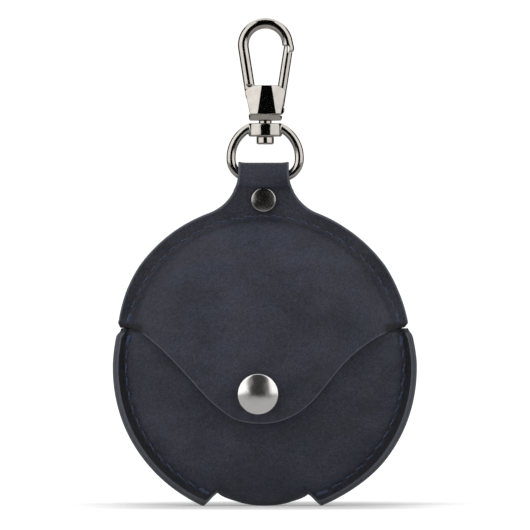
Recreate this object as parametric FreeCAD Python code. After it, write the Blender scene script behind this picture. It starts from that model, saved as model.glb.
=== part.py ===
"""Round leather carry pouch for a wireless-earbuds charging case, with a swivel snap hook.

Two leather pieces are sewn round their rim. The front piece is the cap's front, the tongue that
snaps over the pocket, and a tab that folds over the ring and is riveted behind. The back piece is
the cap's back, a live hinge, the pocket's back, a fold under the bottom and the pocket's front.
Leather pieces are split into nodes where they bend, because each stretch moves on its own body.

Frame: +Z up, front faces -Y, hook hangs in the XZ plane. The origin is the hook's inner crown,
where the pouch hangs from a key ring, bag loop or belt loop. Sizes are in millimetres.
Shapes are built about the pocket's centre and moved to the row frame when they are saved.
"""
import FreeCAD
import Part
import math
import os

V = FreeCAD.Vector
X_AXIS = V(1, 0, 0)
Y_AXIS = V(0, 1, 0)
Z_AXIS = V(0, 0, 1)
CENTRE = V(0, 0, 0)

# ---- driving sizes ---------------------------------------------------------------------------
LEATHER = 1.4            # thickness of the hide
SEAM_R = 40.4            # radius of the stitched seam line
RIM_R = 43.9             # outer radius of the sewn rim
CAP_Z = 3.3              # the cap circle's centre above the pocket circle's centre
SLIT_Z = 11.0            # height of the slit between cap and pocket
SLIT_GAP = 0.4           # width of that slit
POCKET_TILT = 37.0       # the pocket's rim leans forward by this angle
POCKET_RIM_WIDTH = 3.6   # from the seam to the cut edge

TAB_HALF = 7.35          # half width of the hanging tab
NECK_FILLET = 9.3        # concave radius where the tab flares into the cap
RIVET_Z = 48.15
LOOP_Z = 54.75           # the ring's bar turns about this line inside the folded tab
LOOP_Y = LEATHER / 2
LOOP_R = 2.9             # inner radius of the folded tab
TAB_SPLIT_Z = 51.6       # the loop starts here on the front
TAIL_TOP_Z = 45.3        # the tab's tail bends out over the back's shoulder here
TAIL_Z = 43.3            # and ends here
TAIL_LEAN = math.radians(60)

TONGUE_X = -1.1          # the hand-cut tongue sits a little to one side
TONGUE_TIP_R = 20.0
TONGUE_REACH = 38.4      # the slit stops short of the seam, so the tongue's root does too
TONGUE_SHOULDER_R = 12.0
TONGUE_TIP_Z = -25.6     # where its two straight sides would cross
TONGUE_SLOPE = math.radians(46.8)
FLAP_BEND_Z = 4.0        # the tongue bends here when it is unsnapped
SNAP_X = -2.0
SNAP_Z = -7.9

NOTCH_ANGLE = 20.6       # half angle of the bottom fold, seen from the pocket's centre
FOLD_R = 36.5            # the panels end and the bottom fold starts at this radius
FOLD_LOW_R = 40.5        # the fold's lowest point
NOTCH_DEPTH = 1.4        # the notches reach this far inside the seam
NOTCH_CUT = (0.73, -0.684)  # direction of each notch's outer side, (x, z)


HANG = V(0, LOOP_Y, 97.9)  # the hook's inner crown, measured from the pocket's centre


class Dome:
    """One puffed leather disc: a wide crown arc, then a tighter shoulder arc down to the seam."""

    def __init__(self, depth, crown, shoulder, tilt=0.0, rim=0.0, front=True, lift=0.0):
        self.lift = lift            # the whole disc stands this far out of the seam plane
        depth -= lift
        self.depth = depth          # inner face, at the middle
        self.crown = crown          # inner radius of the crown arc
        self.shoulder = shoulder    # inner radius of the shoulder arc
        self.tilt = math.radians(tilt)
        self.rim = rim
        self.side = -1.0 if front else 1.0
        a = crown - shoulder
        p = -2 * a * SEAM_R
        q = 2 * a * (depth - crown)
        s = shoulder ** 2 - a ** 2 - SEAM_R ** 2 - (depth - crown) ** 2
        swing = math.acos(s / math.hypot(p, q))
        turns = [(math.atan2(p, q) + sign * swing) % (2 * math.pi) for sign in (1, -1)]
        self.meet = min(turns)      # angle at which the two arcs join
        self.crown_c = (0.0, depth - crown)
        self.shoulder_c = (a * math.sin(self.meet), depth - crown + a * math.cos(self.meet))

    def depth_at(self, r, out=0.0):
        """Depth of the face that lies out beyond the inner face, at radius r."""
        crown = self.crown + out
        if r <= crown * math.sin(self.meet):
            return self.lift + self.crown_c[1] + math.sqrt(crown ** 2 - r ** 2)
        cx, cd = self.shoulder_c
        return self.lift + cd + math.sqrt((self.shoulder + out) ** 2 - (r - cx) ** 2)

    def point(self, r, d):
        return V(r, self.side * d, 0)

    def arc(self, centre, radius, a0, a1):
        """Arc about centre; angles are measured from the depth axis towards the rim."""
        ends = [self.point(centre[0] + radius * math.sin(t), centre[1] + radius * math.cos(t))
                for t in (a0, (a0 + a1) / 2, a1)]
        return Part.Arc(*ends).toShape()

    def rim_line_start(self):
        """Where the outer shoulder arc meets the outer face of the rim."""
        u = (math.cos(self.tilt), math.sin(self.tilt))
        n = (-u[1], u[0])
        q = (SEAM_R + LEATHER * n[0], LEATHER * n[1])
        cx, cd = self.shoulder_c
        radius = self.shoulder + LEATHER
        b = u[0] * (q[0] - cx) + u[1] * (q[1] - cd)
        c = (q[0] - cx) ** 2 + (q[1] - cd) ** 2 - radius ** 2
        roots = [-b + math.sqrt(b * b - c), -b - math.sqrt(b * b - c)]
        lam = min(roots, key=abs)
        return (q[0] + lam * u[0], q[1] + lam * u[1]), u, n

    def panel(self):
        """The whole disc as a solid of revolution, with its rim."""
        start, u, n = self.rim_line_start()
        edge_in = (SEAM_R + self.rim * u[0], self.rim * u[1])
        edge_out = (edge_in[0] + LEATHER * n[0], edge_in[1] + LEATHER * n[1])
        out_r = self.shoulder + LEATHER
        cx, cd = self.shoulder_c
        end_out = math.atan2(start[0] - cx, start[1] - cd)
        end_in = math.atan2(SEAM_R - cx, -cd)
        edges = [
            self.arc(self.crown_c, self.crown + LEATHER, 0, self.meet),
            self.arc(self.shoulder_c, out_r, self.meet, end_out),
            Part.makeLine(self.point(*start), self.point(*edge_out)),
            Part.makeLine(self.point(*edge_out), self.point(*edge_in)),
            Part.makeLine(self.point(*edge_in), self.point(SEAM_R, 0)),
            self.arc(self.shoulder_c, self.shoulder, end_in, self.meet),
            self.arc(self.crown_c, self.crown, self.meet, 0),
            Part.makeLine(self.point(0, self.depth), self.point(0, self.depth + LEATHER)),
        ]
        disc = revolve(edges)
        disc.translate(V(0, self.side * self.lift, 0))
        return disc

    def stitch_point(self):
        """Radius and depth of a stitch lying on the outer face along the seam."""
        start, u, n = self.rim_line_start()
        if self.side < 0 and self.tilt == 0:
            angle = math.asin((SEAM_R + 0.3 - self.shoulder_c[0]) / (self.shoulder + LEATHER))
            reach = self.shoulder + LEATHER + THREAD_R + 0.1
            return (self.shoulder_c[0] + reach * math.sin(angle),
                    self.shoulder_c[1] + reach * math.cos(angle))
        return (start[0] + 0.5 * u[0] + (THREAD_R + 0.03) * n[0],
                start[1] + 0.5 * u[1] + (THREAD_R + 0.03) * n[1])


THREAD_R = 0.34
STITCH_PITCH = 4.2
STITCH_LENGTH = 3.1

PLATE_LAP = 0.6          # the cap's domes carry this much rim, and a flat plate is the rest
POCKET_FRONT = Dome(7.6, 150.0, 30.0, POCKET_TILT, POCKET_RIM_WIDTH)
POCKET_BACK = Dome(14.0, 200.0, 16.0, -POCKET_TILT, POCKET_RIM_WIDTH, front=False)
CAP_FRONT = Dome(11.6, 130.0, 22.0, 0.0, PLATE_LAP)
CAP_BACK = Dome(13.85, 200.0, 16.0, 0.0, PLATE_LAP, front=False)
TONGUE = Dome(11.8, 150.0, 22.0, 0.0, PLATE_LAP, lift=1.5)


# ---- small helpers ---------------------------------------------------------------------------
def revolve(edges, start=0.0, sweep=360.0):
    face = Part.Face(Part.Wire(edges))
    face.rotate(CENTRE, Y_AXIS, start)
    return as_solid(face.revolve(CENTRE, Y_AXIS, sweep))


def as_solid(shape):
    if shape.ShapeType == "Solid":
        solid = shape
    elif shape.Solids:
        solid = shape.Solids[0] if len(shape.Solids) == 1 else shape
    else:
        solid = Part.makeSolid(shape.Shells[0] if shape.Shells else shape)
    if solid.ShapeType == "Solid" and solid.Volume < 0:
        solid.reverse()
    return solid


def cylinder(radius, start, axis, length):
    return Part.makeCylinder(radius, length, start, axis)


def box(x0, x1, y0, y1, z0, z1):
    return Part.makeBox(x1 - x0, y1 - y0, z1 - z0, V(x0, y0, z0))


def rounded_outline(corners, y=0.0):
    """Closed XZ outline through corners (x, z, radius), with an arc at each corner."""
    count = len(corners)
    cuts = []
    for i, (x, z, radius) in enumerate(corners):
        here = V(x, y, z)
        back = V(corners[i - 1][0], y, corners[i - 1][1]) - here
        ahead = V(corners[(i + 1) % count][0], y, corners[(i + 1) % count][1]) - here
        back.normalize()
        ahead.normalize()
        if radius == 0:
            cuts.append((here, None, here))
            continue
        half = back.getAngle(ahead) / 2
        bisector = (back + ahead).normalize()
        middle = here + bisector * (radius / math.sin(half) - radius)
        reach = radius / math.tan(half)
        cuts.append((here + back * reach, middle, here + ahead * reach))
    edges = []
    for i, (first, middle, last) in enumerate(cuts):
        if middle is not None:
            edges.append(Part.Arc(first, middle, last).toShape())
        following = cuts[(i + 1) % count][0]
        if last.distanceToPoint(following) > 1e-6:
            edges.append(Part.makeLine(last, following))
    return Part.Wire(edges)


def prism_y(wire, y0, y1):
    face = Part.Face(wire)
    face.translate(V(0, y0, 0))
    return face.extrude(V(0, y1 - y0, 0))


def lathe_y(points, base):
    """Turned piece on a Y axis through base: points are (radius, y) round a closed section."""
    section = [V(r, y, 0) for r, y in points]
    wire = Part.makePolygon(section + [section[0]])
    solid = as_solid(Part.Face(wire).revolve(CENTRE, Y_AXIS, 360))
    solid.translate(base)
    return solid


def soften(solid, edges, radius):
    """Rounds the chosen edges, or leaves the solid as it is where the kernel can't."""
    try:
        rounded = solid.makeFillet(radius, edges)
        return rounded if rounded.isValid() and rounded.Volume > 0 else solid
    except Part.OCCError:
        return solid


def above(z):
    return box(-90, 90, -60, 60, z, 120)


def below(z):
    return box(-90, 90, -60, 60, -120, z)


# ---- leather ---------------------------------------------------------------------------------
def cap_outline(top_z, y):
    """The cap's rim circle, the concave flare and the tab, down to the slit."""
    reach = RIM_R + NECK_FILLET
    fillet_x = TAB_HALF + NECK_FILLET
    fillet_z = CAP_Z + math.sqrt(reach ** 2 - fillet_x ** 2)
    touch = V(fillet_x, 0, fillet_z - CAP_Z) * (RIM_R / reach) + V(0, y, CAP_Z)
    low = SLIT_Z + SLIT_GAP / 2
    side_x = math.sqrt(RIM_R ** 2 - (low - CAP_Z) ** 2)
    mid_angle = (math.atan2(low - CAP_Z, side_x) + math.atan2(touch.z - CAP_Z, touch.x)) / 2
    fillet_mid_angle = (math.pi + math.atan2(CAP_Z - fillet_z, -fillet_x) % (2 * math.pi)) / 2

    def mirrored(x, z, sign):
        return V(sign * x, y, z)

    edges = []
    for sign in (1, -1):
        rim_mid = mirrored(RIM_R * math.cos(mid_angle), CAP_Z + RIM_R * math.sin(mid_angle), sign)
        flare_mid = mirrored(fillet_x + NECK_FILLET * math.cos(fillet_mid_angle),
                             fillet_z + NECK_FILLET * math.sin(fillet_mid_angle), sign)
        side = mirrored(side_x, low, sign)
        touching = mirrored(touch.x, touch.z, sign)
        if top_z < fillet_z:
            drop = fillet_z - top_z
            end_x = fillet_x - math.sqrt(NECK_FILLET ** 2 - drop ** 2)
            part_angle = (math.atan2(-drop, end_x - fillet_x) % (2 * math.pi)
                          + math.atan2(CAP_Z - fillet_z, -fillet_x) % (2 * math.pi)) / 2
            flare_mid = mirrored(fillet_x + NECK_FILLET * math.cos(part_angle),
                                 fillet_z + NECK_FILLET * math.sin(part_angle), sign)
            tab = mirrored(end_x, top_z, sign)
            edges.append(Part.Arc(touching, flare_mid, tab).toShape())
        else:
            tab = mirrored(TAB_HALF, top_z, sign)
            foot = mirrored(TAB_HALF, fillet_z, sign)
            edges.append(Part.Arc(touching, flare_mid, foot).toShape())
            edges.append(Part.makeLine(foot, tab))
        edges.append(Part.Arc(side, rim_mid, touching).toShape())
        if sign > 0:
            right_top, right_side = tab, side
    edges.append(Part.makeLine(right_top, tab))
    edges.append(Part.makeLine(right_side, side))
    return Part.Wire(Part.__sortEdges__(edges))


def cap_panel(dome, y0, y1, top_z):
    """A cap disc: puffed dome inside the seam, flat rim and neck plate outside it."""
    shell = dome.panel()
    shell.translate(V(0, 0, CAP_Z))
    shell = shell.common(above(SLIT_Z + SLIT_GAP / 2))
    plate = prism_y(cap_outline(top_z, 0.0), y0, y1)
    hole = cylinder(SEAM_R + PLATE_LAP / 2, V(0, -20, CAP_Z), Y_AXIS, 40)
    return as_solid(shell.fuse(plate.cut(hole)).removeSplitter())


def cap_front_panel():
    panel = cap_panel(CAP_FRONT, -LEATHER, 0.0, TAB_SPLIT_Z)
    return panel.cut(cylinder(RIVET_HOLE_R, V(0, -5, RIVET_Z), Y_AXIS, 10))


def cap_back_panel():
    panel = cap_panel(CAP_BACK, 0.0, LEATHER, TAB_SPLIT_Z - 0.4)
    return panel.cut(cylinder(RIVET_HOLE_R, V(0, -5, RIVET_Z), Y_AXIS, 10))


def hanger_loop():
    """The tab over the ring: up the front, round the bar, down the back and onto the dome."""
    half = LEATHER / 2
    rise = LOOP_Z - TAB_SPLIT_Z
    lean = math.atan2(LOOP_R - half, rise)     # the sides open out towards the loop
    inner = LOOP_R
    outer = LOOP_R + LEATHER

    def on_loop(radius, angle):
        return V(0, LOOP_Y + radius * math.sin(angle), LOOP_Z + radius * math.cos(angle))

    turn = math.pi / 2 + lean
    back_in = LEATHER + 0.02
    back_out = 2 * LEATHER + 0.02
    tail_top = TAIL_TOP_Z
    tail_in = V(0, back_in + (tail_top - TAIL_Z) * math.tan(TAIL_LEAN), TAIL_Z)
    tail_thick = V(0, LEATHER * math.cos(TAIL_LEAN), LEATHER * math.sin(TAIL_LEAN))
    tail_bend_out = tail_top + LEATHER * math.tan(TAIL_LEAN / 2)
    outer_path = [
        Part.makeLine(V(0, -LEATHER, TAB_SPLIT_Z), on_loop(outer, -turn)),
        Part.Arc(on_loop(outer, -turn), on_loop(outer, 0), on_loop(outer, turn)).toShape(),
        Part.makeLine(on_loop(outer, turn), V(0, back_out, TAB_SPLIT_Z)),
        Part.makeLine(V(0, back_out, TAB_SPLIT_Z), V(0, back_out, tail_bend_out)),
        Part.makeLine(V(0, back_out, tail_bend_out), tail_in + tail_thick),
    ]
    inner_path = [
        Part.makeLine(tail_in + tail_thick, tail_in),
        Part.makeLine(tail_in, V(0, back_in, tail_top)),
        Part.makeLine(V(0, back_in, tail_top), V(0, back_in, TAB_SPLIT_Z)),
        Part.makeLine(V(0, back_in, TAB_SPLIT_Z), on_loop(inner, turn)),
        Part.Arc(on_loop(inner, turn), on_loop(inner, 0), on_loop(inner, -turn)).toShape(),
        Part.makeLine(on_loop(inner, -turn), V(0, 0, TAB_SPLIT_Z)),
        Part.makeLine(V(0, 0, TAB_SPLIT_Z), V(0, -LEATHER, TAB_SPLIT_Z)),
    ]
    face = Part.Face(Part.Wire(outer_path + inner_path))
    face.translate(V(-TAB_HALF, 0, 0))
    loop = face.extrude(V(2 * TAB_HALF, 0, 0))
    dent = cylinder(RIVET_BACK_R + 0.05, V(0, back_out + 0.01, RIVET_Z), Y_AXIS, 8)
    return loop.cut(dent).cut(cylinder(RIVET_HOLE_R, V(0, -5, RIVET_Z), Y_AXIS, 12))


def tongue():
    """The whole snap tongue below the slit: a piece of dome cut to the S-shaped outline."""
    shoulder_z = SLIT_Z - 0.7
    corner_x = (shoulder_z - TONGUE_TIP_Z) / math.tan(TONGUE_SLOPE)
    top = SLIT_Z - 0.1
    reach = SEAM_R + 2
    outline = rounded_outline([
        (-reach, top, 0), (-reach, shoulder_z, 0),
        (TONGUE_X - corner_x, shoulder_z, TONGUE_SHOULDER_R * 0.85),
        (TONGUE_X, TONGUE_TIP_Z, TONGUE_TIP_R),
        (TONGUE_X + corner_x, shoulder_z, TONGUE_SHOULDER_R * 0.85),
        (reach, shoulder_z, 0), (reach, top, 0)])
    cut = prism_y(outline, -20, -0.2).common(cylinder(TONGUE_REACH, V(0, -20, 0), Y_AXIS, 20))
    return TONGUE.panel().common(cut)


def tongue_root():
    """The tongue's wide root, which stays with the cap."""
    return tongue().common(above(FLAP_BEND_Z + 0.15))


def flap_tongue():
    """The part of the tongue that bends up to unsnap."""
    flap = tongue().common(below(FLAP_BEND_Z - 0.15))
    return flap.cut(cylinder(SNAP_POST_R, V(SNAP_X, -20, SNAP_Z), Y_AXIS, 20))


def fold_cutter():
    """Everything of a pocket disc that the bottom fold and its two notches replace."""
    wedge = revolve([
        Part.makeLine(V(FOLD_R, -30, 0), V(60, -30, 0)),
        Part.makeLine(V(60, -30, 0), V(60, 30, 0)),
        Part.makeLine(V(60, 30, 0), V(FOLD_R, 30, 0)),
        Part.makeLine(V(FOLD_R, 30, 0), V(FOLD_R, -30, 0)),
    ], 90 - NOTCH_ANGLE, 2 * NOTCH_ANGLE)
    angle = math.radians(NOTCH_ANGLE)
    apex_r = SEAM_R - NOTCH_DEPTH
    for sign in (1, -1):
        apex = V(sign * apex_r * math.sin(angle), 0, -apex_r * math.cos(angle))
        radial = V(sign * math.sin(angle), 0, -math.cos(angle)) * 12
        cut = V(sign * NOTCH_CUT[0], 0, NOTCH_CUT[1]) * 12
        triangle = Part.makePolygon([apex, apex + radial, apex + cut, apex])
        wedge = wedge.fuse(prism_y(triangle, -30, 30))
    return wedge


def pocket_panel(dome):
    disc = dome.panel().common(below(SLIT_Z - SLIT_GAP / 2))
    return disc.cut(fold_cutter())


def pocket_front_panel():
    return pocket_panel(POCKET_FRONT).cut(
        cylinder(STUD_POST_R, V(SNAP_X, -20, SNAP_Z), Y_AXIS, 20))


def bottom_fold():
    """The leather that wraps from the pocket's front to its back between the notches."""
    front = POCKET_FRONT.depth_at(FOLD_R, LEATHER)
    back = POCKET_BACK.depth_at(FOLD_R, LEATHER)
    half = (front + back) / 2
    middle = (back - front) / 2
    sagitta = FOLD_LOW_R - FOLD_R
    radius = (half ** 2 + sagitta ** 2) / (2 * sagitta)
    centre_r = FOLD_LOW_R - radius
    inner = radius - LEATHER
    start_r = FOLD_R + 0.05

    def on_arc(rho, side):
        return V(start_r, middle + side * math.sqrt(rho ** 2 - (start_r - centre_r) ** 2), 0)

    edges = [
        Part.Arc(on_arc(radius, -1), V(centre_r + radius, middle, 0), on_arc(radius, 1)).toShape(),
        Part.makeLine(on_arc(radius, 1), on_arc(inner, 1)),
        Part.Arc(on_arc(inner, 1), V(centre_r + inner, middle, 0), on_arc(inner, -1)).toShape(),
        Part.makeLine(on_arc(inner, -1), on_arc(radius, -1)),
    ]
    clear = 0.4
    return revolve(edges, 90 - NOTCH_ANGLE + clear, 2 * (NOTCH_ANGLE - clear))


# ---- threads ---------------------------------------------------------------------------------
def stitches(dome, centre_z, first, last):
    """A row of stitches round the rim; angles in degrees from +X towards +Z."""
    radius, depth = dome.stitch_point()
    count = int(round(math.radians(last - first) * radius / STITCH_PITCH))
    made = []
    for i in range(count):
        angle = math.radians(first + (i + 0.5) * (last - first) / count)
        middle = V(radius * math.cos(angle), dome.side * depth, centre_z + radius * math.sin(angle))
        along = V(-math.sin(angle), 0, math.cos(angle))
        made.append(cylinder(THREAD_R, middle - along * (STITCH_LENGTH / 2), along, STITCH_LENGTH))
    return made


CAP_SEAM_FROM = 15.0
POCKET_SEAM_FROM = 12.0
TAIL_SEAM_GAP = 13.0     # the back's row stops this many degrees each side of the tail


def cap_seam_thread():
    """Front row right across; back row stops each side of the tab's tail."""
    front = stitches(CAP_FRONT, CAP_Z, CAP_SEAM_FROM, 180 - CAP_SEAM_FROM)
    back = stitches(CAP_BACK, CAP_Z, CAP_SEAM_FROM, 90 - TAIL_SEAM_GAP) + stitches(
        CAP_BACK, CAP_Z, 90 + TAIL_SEAM_GAP, 180 - CAP_SEAM_FROM)
    return Part.makeCompound(front + back)


def pocket_seam_thread(right):
    first, last = POCKET_SEAM_FROM, -90 + NOTCH_ANGLE + 4.5
    if not right:
        first, last = 180 - first, 180 - last
    low, high = min(first, last), max(first, last)
    return Part.makeCompound(stitches(POCKET_FRONT, 0, low, high)
                             + stitches(POCKET_BACK, 0, low, high))


# ---- rivet and snap fastener -----------------------------------------------------------------
RIVET_CAP_R = 3.6
RIVET_BACK_R = 3.0
RIVET_HOLE_R = 1.25
RIVET_POST_R = 1.2
SNAP_CAP_R = 5.95
SNAP_POST_R = 1.6
STUD_POST_R = 1.3
KNOB_R = 1.75
STUD_SEAT = 0.2          # the stud's flat base stands this far off the curved leather


def domed_cap(radius, height, lip):
    """Section of a pressed metal cap, base at y = 0 and dome towards -Y: (radius, y) points."""
    steps = 14
    points = [(0.0, 0.0), (radius - 0.35, 0.0), (radius, -0.3 * lip), (radius, -lip)]
    for i in range(1, steps + 1):
        angle = math.pi / 2 * i / steps
        points.append((radius * math.cos(angle), -lip - (height - lip) * math.sin(angle)))
    return points


def rivet_front():
    cap = lathe_y(domed_cap(RIVET_CAP_R, 1.5, 0.45), V(0, -LEATHER, RIVET_Z))
    post = cylinder(RIVET_POST_R, V(0, -LEATHER - 0.2, RIVET_Z), Y_AXIS, 3 * LEATHER + 0.1)
    return cap.fuse(post)


def rivet_back():
    """The smaller half of the rivet, on the tab's tail: same cap, facing back."""
    cap = lathe_y(domed_cap(RIVET_BACK_R, 1.2, 0.4), CENTRE)
    cap.rotate(CENTRE, Z_AXIS, 180)
    cap.translate(V(0, 2 * LEATHER + 0.04, RIVET_Z))
    return cap.cut(cylinder(RIVET_POST_R + 0.02, V(0, 0, RIVET_Z), Y_AXIS, 3 * LEATHER - 1.29))


def snap_planes():
    """Y of the pocket's outer face, the tongue's inner face and its outer face at the snap."""
    r = math.hypot(SNAP_X, SNAP_Z)
    return (-POCKET_FRONT.depth_at(r, LEATHER), -TONGUE.depth_at(r), -TONGUE.depth_at(r, LEATHER))


def snap_cap():
    _, inner, outer = snap_planes()
    seat = outer - CAP_SEAT
    cap = lathe_y(domed_cap(SNAP_CAP_R, 2.7, 0.9), V(SNAP_X, seat, SNAP_Z))
    length = inner - seat + SOCKET_SEAT + SOCKET_SHEET
    post = cylinder(SNAP_POST_R - 0.03, V(SNAP_X, seat - 0.3, SNAP_Z), Y_AXIS, length + 0.3)
    return cap.fuse(post)


SOCKET_R = 5.2
SOCKET_HOLE_R = 3.15
SOCKET_THICK = 1.55
SOCKET_SHEET = 0.35      # thickness of its pressed sheet
SOCKET_SEAT = 0.42       # its flat floor stands this far off the curved leather
CAP_SEAT = 0.25          # the same for the cap, in front
POST_SEAT = 0.4          # and for the eyelet's flange inside the pocket


def snap_socket():
    """Pressed dish behind the tongue: floor on the leather, rolled lip round the stud's hole."""
    inner = snap_planes()[1] + SOCKET_SEAT
    post_hole = SNAP_POST_R
    return lathe_y([
        (post_hole, 0.0), (SOCKET_R - 0.3, 0.0), (SOCKET_R, 0.3), (SOCKET_R, SOCKET_THICK - 0.35),
        (SOCKET_R - 0.35, SOCKET_THICK), (SOCKET_HOLE_R, SOCKET_THICK),
        (SOCKET_HOLE_R, SOCKET_THICK - 0.3), (SOCKET_R - 0.8, SOCKET_THICK - 0.3),
        (SOCKET_R - 0.8, SOCKET_SHEET), (post_hole, SOCKET_SHEET)],
        V(SNAP_X, inner, SNAP_Z))


def snap_spring():
    """The two spring wires of the socket, one each side of the stud's neck."""
    wire_r = 0.2
    y = snap_planes()[1] + SOCKET_SEAT + SOCKET_THICK - 0.3 - wire_r - 0.03
    half = 3.4
    wires = []
    for side in (1, -1):
        x = SNAP_X + side * (KNOB_R + wire_r + 0.05)
        wires.append(cylinder(wire_r, V(x, y, SNAP_Z - half), Z_AXIS, 2 * half))
    return Part.makeCompound(wires)


def snap_stud():
    """Domed knob on a base disc, on the pocket's outer face."""
    outer = snap_planes()[0] - STUD_SEAT
    return lathe_y([
        (0.0, 0.0), (3.9, 0.0), (4.0, -0.2), (1.5, -0.38), (1.5, -0.95), (KNOB_R, -1.15),
        (KNOB_R, -1.3), (1.4, -1.5), (0.8, -1.62), (0.0, -1.65)], V(SNAP_X, outer, SNAP_Z))


def snap_post():
    """Eyelet post of the stud, its flange against the pocket's inside."""
    r = math.hypot(SNAP_X, SNAP_Z)
    inside = -POCKET_FRONT.depth_at(r) + POST_SEAT
    outer = snap_planes()[0] - STUD_SEAT
    flange = lathe_y([(0.0, 0.0), (4.2, 0.0), (4.4, 0.25), (4.1, 0.5), (0.0, 0.5)],
                     V(SNAP_X, inside, SNAP_Z))
    post = cylinder(STUD_POST_R - 0.02, V(SNAP_X, outer, SNAP_Z), Y_AXIS, inside - outer + 0.1)
    return flange.fuse(post)


# ---- swivel snap hook ------------------------------------------------------------------------
WIRE_R = 1.5             # hook wire
CROWN_R = 6.3            # centre line of the hook's crown
CROWN_Z = HANG.z - (CROWN_R - WIRE_R)
LEG_TAPER = math.radians(8.7)
HOUSING_TOP_Z = 81.4
HOUSING_LOW_Z = 72.9
COLLAR_LOW_Z = 71.2
HOUSING_TOP_HALF = 5.75
HOUSING_LOW_HALF = 4.35
HOUSING_DEPTH = 3.5
PIVOT = V(3.9, LOOP_Y, 74.3)
GATE_R = 1.3
GATE_TOP = V(6.4, LOOP_Y, 90.9)
GATE_STEP_Z = 92.75
NOSE_LIP = 2.0           # the nose's lip reaches this far below the crown's centre
PIN_R = 0.6
SLOT_HALF = 1.42
SPRING_Z = 78.2
SPRING_R = 0.95          # middle of the coil
SPRING_WIRE_R = 0.16
STUD_NECK_R = 1.8
STUD_SHANK_R = 1.2
STUD_HEAD_R = 2.45
STUD_HEAD_Z = (64.3, 66.45)
BLOCK_Z = (66.55, 70.35)
BLOCK_HALF = (4.7, 3.4)
RING_WIRE_R = 1.25
RING_R = 9.7             # centre line of the ring's round top
RING_Z = 60.46
RING_CORNER_R = 5.2      # centre line of its lower corners


def ellipse_prism(half_x, half_y, z0, z1):
    centre = V(0, LOOP_Y, z0)
    ellipse = Part.Ellipse(centre, half_x, half_y)
    return Part.Face(Part.Wire(ellipse.toShape())).extrude(V(0, 0, z1 - z0))


def wire_pipe(path, radius):
    """Round wire along a planar path of tangent edges."""
    wire = Part.Wire(path)
    first = wire.OrderedEdges[0]
    start = first.valueAt(first.FirstParameter)
    tangent = first.tangentAt(first.FirstParameter)
    section = Part.Wire(Part.makeCircle(radius, start, tangent))
    return as_solid(wire.makePipeShell([section], True, False))


def arc_xz(centre_x, centre_z, radius, start, end):
    """Arc in the hook's plane; angles in degrees from +X towards +Z."""
    points = []
    for angle in (start, (start + end) / 2, end):
        t = math.radians(angle)
        points.append(V(centre_x + radius * math.cos(t), LOOP_Y, centre_z + radius * math.sin(t)))
    return Part.Arc(*points).toShape()


def hook_wire():
    """Leg, crown and nose; the nose keeps only its outer half below the gate's step."""
    centre = V(0, LOOP_Y, CROWN_Z)
    section = Part.Face(Part.Wire(Part.makeCircle(WIRE_R, centre + V(CROWN_R, 0, 0), Z_AXIS)))
    crown = section.revolve(centre, V(0, -1, 0), 180 + math.degrees(LEG_TAPER))
    leg_top = centre - V(math.cos(LEG_TAPER), 0, math.sin(LEG_TAPER)) * CROWN_R
    drop = leg_top.z - (HOUSING_TOP_Z - 3.5)
    along = V(drop * math.tan(LEG_TAPER), 0, -drop)
    leg = cylinder(WIRE_R, leg_top, along, along.Length)
    nose = cylinder(WIRE_R, centre + V(CROWN_R, 0, -NOSE_LIP), Z_AXIS, NOSE_LIP)
    wire = crown.fuse(leg).fuse(nose)
    return wire.cut(box(-1, CROWN_R + 0.2, -5, 5, 80, GATE_STEP_Z + 0.1))


def hook_housing():
    """Barrel-faced housing with its collar, slotted on the right for the gate."""
    outline = rounded_outline([
        (-HOUSING_LOW_HALF, HOUSING_LOW_Z, 0), (-HOUSING_TOP_HALF, HOUSING_TOP_Z - 1.4, 0.8),
        (-3.2, HOUSING_TOP_Z, 2.0), (3.2, HOUSING_TOP_Z, 2.0),
        (HOUSING_TOP_HALF, HOUSING_TOP_Z - 1.4, 0.8), (HOUSING_LOW_HALF, HOUSING_LOW_Z, 0)])
    housing = prism_y(outline, LOOP_Y - 6, LOOP_Y + 6)
    housing = housing.common(ellipse_prism(6.6, HOUSING_DEPTH, COLLAR_LOW_Z, HOUSING_TOP_Z + 1))
    rims = [e for e in housing.Edges
            if abs(e.CenterOfMass.y - LOOP_Y) > 2.2 and e.CenterOfMass.z > HOUSING_LOW_Z + 0.3]
    collar = ellipse_prism(4.75, HOUSING_DEPTH - 0.15, COLLAR_LOW_Z, HOUSING_LOW_Z + 0.02)
    lower = [e for e in collar.Edges if e.CenterOfMass.z < COLLAR_LOW_Z + 0.1]
    return soften(housing, rims, 0.35).fuse(soften(collar, lower, 0.4))


def hook_body():
    """The cast hook: wire and housing in one, with the gate's slot and the holes for its pins."""
    body = hook_wire().fuse(hook_housing())
    slot_low = PIVOT.z - 1.75
    slot = rounded_outline([
        (-0.4, HOUSING_TOP_Z + 3, 0), (2.0, slot_low + 0.75, 0), (2.3, slot_low, 0.3),
        (9.0, slot_low, 0), (9.0, HOUSING_TOP_Z + 3, 0)])
    body = body.cut(prism_y(slot, LOOP_Y - SLOT_HALF, LOOP_Y + SLOT_HALF))
    body = body.cut(cylinder(SPRING_R + 0.3, V(-2.4, LOOP_Y, SPRING_Z), X_AXIS, 4))
    body = body.cut(cylinder(PIN_R, V(PIVOT.x, LOOP_Y - 2.4, PIVOT.z), Y_AXIS, 4.8))
    return body.cut(cylinder(STUD_SHANK_R, V(0, LOOP_Y, COLLAR_LOW_Z - 1), Z_AXIS, 4.3))


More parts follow.
